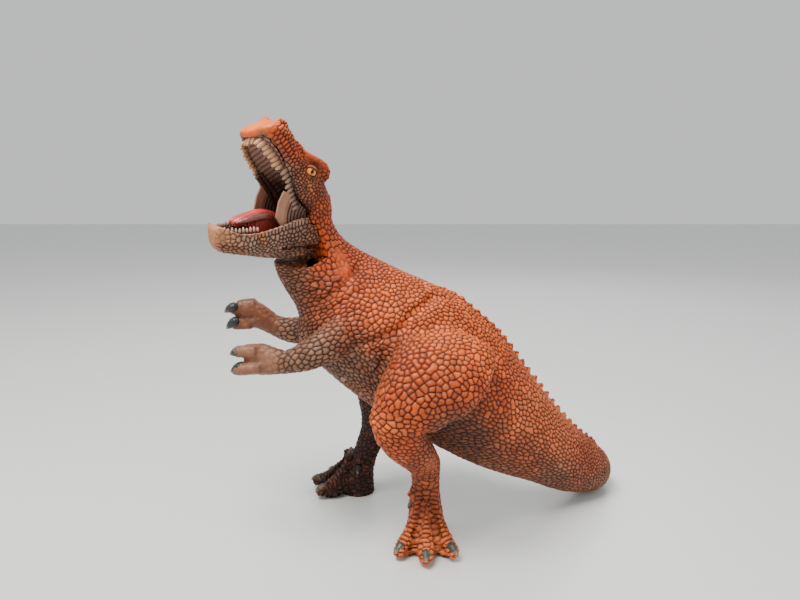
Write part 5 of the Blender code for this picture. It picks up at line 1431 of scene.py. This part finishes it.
for side in (1, -1):
    upper += row_of(SKULL, UPPER_GUM, 2.25, (0.1, 0.3, -1), 2.9, 2.0, 4.6, side)
    lower += row_of(JAW, LOWER_GUM, 1.75, (0, 0.12, 1), 1.7, 1.9, 3.0, side)
    lumps += row_of(SKULL, LIP_LUMPS, 2.2, (-0.1, 0.3, -1), 2.7, 2.8, 4.4, side)
upper += row_of(SKULL, FRONT_GUM, 2.1, (-0.5, 0, -1), 2.4, 1.8, 3.8, 1)
teeth = joined(upper, "upper_teeth_row", CREAM)
lips = joined(lumps, "upper_lip_lumps", LUMP)
for row in (teeth, lips):
    set_points(row, lift_lip(points_of(row)))
finished(teeth, "upper_teeth", TOOTH)
finished(lips, "palate", MOUTH_SKIN)
for number, rim in enumerate(LIP_RIMS):
    edge = sausage([(*in_frame(SKULL, x, y, z), radius) for x, y, z, radius in rim], f"lip_rim_{number}")
    only(edge)
    bpy.ops.object.shade_smooth()
    set_points(edge, lift_lip(points_of(edge)))
    far = np.full(len(points_of(edge)), 2.0)
    tint(edge, np.tile(MOUTH_BROWN, (len(far), 1)), far)
    finished(edge, "palate", MOUTH_SKIN)
finished(joined(lower, "lower_teeth_row", PALE), "lower_teeth", TOOTH, "jaw")
bpy.data.objects.remove(master_tooth)
print("teeth", len(upper) + len(lower), "lumps", len(lumps))

# %% [markdown]
# ## Eyes
#
# Each eye is a ball behind two lids. The lids are cut from slightly larger balls by planes that meet at the
# corners of the eye, which gives the slanted almond. The ball keeps a number for how far each point is from
# the pupil.

# %% Eyeballs and lids
IRIS = [
    (0.28, (2, 2, 2)), (0.32, (196, 110, 14)), (0.5, (236, 156, 24)), (0.85, (216, 118, 22)),
    (0.95, (120, 48, 12)),
]


def eye_material():
    made = bpy.data.materials.new("yellow_eye")
    made.use_nodes = True
    nodes, links = made.node_tree.nodes, made.node_tree.links
    shader = nodes["Principled BSDF"]
    rings = nodes.new("ShaderNodeValToRGB")
    rings.color_ramp.elements[0].color = (0.002, 0.002, 0.002, 1)
    rings.color_ramp.elements[1].color = (0.01, 0.004, 0.002, 1)
    for place, colour in IRIS:
        stop = rings.color_ramp.elements.new(place)
        stop.color = (*paint(*colour), 1)
    grain = nodes.new("ShaderNodeTexNoise")
    grain.inputs["Scale"].default_value = 900
    coordinates = nodes.new("ShaderNodeTexCoord")
    links.new(coordinates.outputs["Object"], grain.inputs["Vector"])
    wobble = nodes.new("ShaderNodeMath")
    wobble.operation = "MULTIPLY_ADD"
    links.new(grain.outputs["Fac"], wobble.inputs[0])
    wobble.inputs[1].default_value = 0.05
    links.new(attribute(nodes, "gaze", "Fac"), wobble.inputs[2])
    links.new(wobble.outputs[0], rings.inputs["Fac"])
    links.new(rings.outputs["Color"], shader.inputs["Base Color"])
    shader.inputs["Roughness"].default_value = 0.25
    shader.inputs["Specular IOR Level"].default_value = 0.25
    return made


EYE = eye_material()
LID_RIM = [(0, paint(16, 6, 4)), (0.4, paint(30, 12, 7)), (0.7, paint(110, 46, 22)), (1.6, RED_BROWN)]
LID_TILT = {"upper": (math.radians(33), 0.5), "lower": (math.radians(43), 0.35)}


def ball_at(centre, radius, name):
    bpy.ops.object.select_all(action="DESELECT")
    bpy.ops.mesh.primitive_uv_sphere_add(segments=48, ring_count=32, radius=radius * MM, location=centre * MM)
    made = bpy.context.object
    made.name = name
    bpy.ops.object.transform_apply(location=True, rotation=True, scale=True)
    bpy.ops.object.shade_smooth()
    return made


for side, sign in (("left", 1), ("right", -1)):
    corners = points_of(frame["nodes"][side + "_eye"])
    centre = Vector((corners.min(axis=0) + corners.max(axis=0)) / 2)
    radius = float((corners.max(axis=0) - corners.min(axis=0)).mean() / 2)
    turn = SKULL.to_3x3()
    out = (turn @ Vector((0.30, sign, -0.12))).normalized()
    long = turn @ Vector((-0.9, 0, 0.42))
    long = (long - out * long.dot(out)).normalized()
    high = turn @ Vector((0.42, 0, 0.9))
    high = (high - out * high.dot(out) - long * high.dot(long)).normalized()
    ball = ball_at(centre, radius, side + "_eyeball")
    offset = points_of(ball) - np.array(centre)
    across = offset @ np.array(long)
    above = offset @ np.array(high)
    front = offset @ np.array(out)
    gaze = np.hypot(across * 1.1, above * 0.68) / radius
    store_number(ball, "gaze", np.where(front > 0, gaze, 1))
    finished(ball, side + "_eye", EYE)
    for name, (tilt, more) in LID_TILT.items():
        lid = ball_at(centre, radius + more, side + "_" + name + "_lid")
        up = high if name == "upper" else -high
        keep = (up * math.cos(tilt) - out * math.sin(tilt)).normalized()
        corner = centre + out * (0.16 * radius)
        only(lid)
        bpy.ops.object.mode_set(mode="EDIT")
        bpy.ops.mesh.select_all(action="SELECT")
        bpy.ops.mesh.bisect(plane_co=corner * MM, plane_no=keep, use_fill=True, clear_inner=True)
        bpy.ops.mesh.select_all(action="SELECT")
        bpy.ops.mesh.normals_make_consistent(inside=False)
        bpy.ops.object.mode_set(mode="OBJECT")
        points = points_of(lid)
        rim = np.abs((points - np.array(corner)) @ np.array(keep))
        tint(lid, ramp(rim, LID_RIM), rim + 0.3)
        finished(lid, side + "_eye", ORANGE_SKIN)

# %% [markdown]
# ## Claws and pin
#
# The claws need their facets softened, a little less size, a place nearer to their toe or finger, and their
# paint: dark horn, with the worn pale tip that a toy gets first.

# %% Claws and the steel pin
ROOTS = {"left_toe": (-2.6, -39.4, 20), "right_toe": (-44, 18.3, 20), "left_dew": (-2.6, -39.4, 20),
         "right_dew": (-44, 18.3, 20), "left_fin": (-80, -54, 106), "right_fin": (-90, -2, 114)}
HORN = {"toe": (70, 68, 62), "dew": (52, 46, 42), "fin": (48, 52, 52)}
FIT = {"toe": (0.74, 1.6, (0, 0, 1.5)), "dew": (0.8, 2.2, (0, 0, 0)), "fin": (0.95, 0.6, (0, -2.6, 0.6))}
for node in sorted(name for name in frame["nodes"] if "claw" in name):
    root = next(place for start, place in ROOTS.items() if node.startswith(start))
    kind = next(kind for kind in HORN if kind in node)
    horn, (size, pull, shift) = HORN[kind], FIT[kind]
    claw = smooth_copy(node, node + "_horn", 0.26, 16)
    points = points_of(claw)
    middle = points.mean(axis=0)
    points = middle + size * (points - middle) + pull * unit(np.array(root) - middle) + np.array(shift)
    set_points(claw, points)
    tip = points[np.linalg.norm(points - np.array(root), axis=1).argmax()]
    away = np.linalg.norm(points - tip, axis=1)
    away = away / away.max()
    dark = tuple(0.45 * value for value in paint(*horn))
    shades = [(0, paint(186, 150, 124)), (0.10, paint(140, 114, 96)), (0.30, paint(*horn)), (1, dark)]
    tint(claw, ramp(away, shades), np.full(len(points), 2.0))
    finished(claw, node, CLAW)

steel = plain_material("brushed_steel", (0.55, 0.55, 0.56), 0.3)
shader = steel.node_tree.nodes["Principled BSDF"]
shader.inputs["Metallic"].default_value = 1.0
scratches = steel.node_tree.nodes.new("ShaderNodeTexNoise")
scratches.inputs["Scale"].default_value = 2500
steel.node_tree.links.new(scratches.outputs["Fac"], shader.inputs["Roughness"])
pin = frame["nodes"]["jaw_pin"]
pin.data.materials.clear()
pin.data.materials.append(steel)
print("claws done")
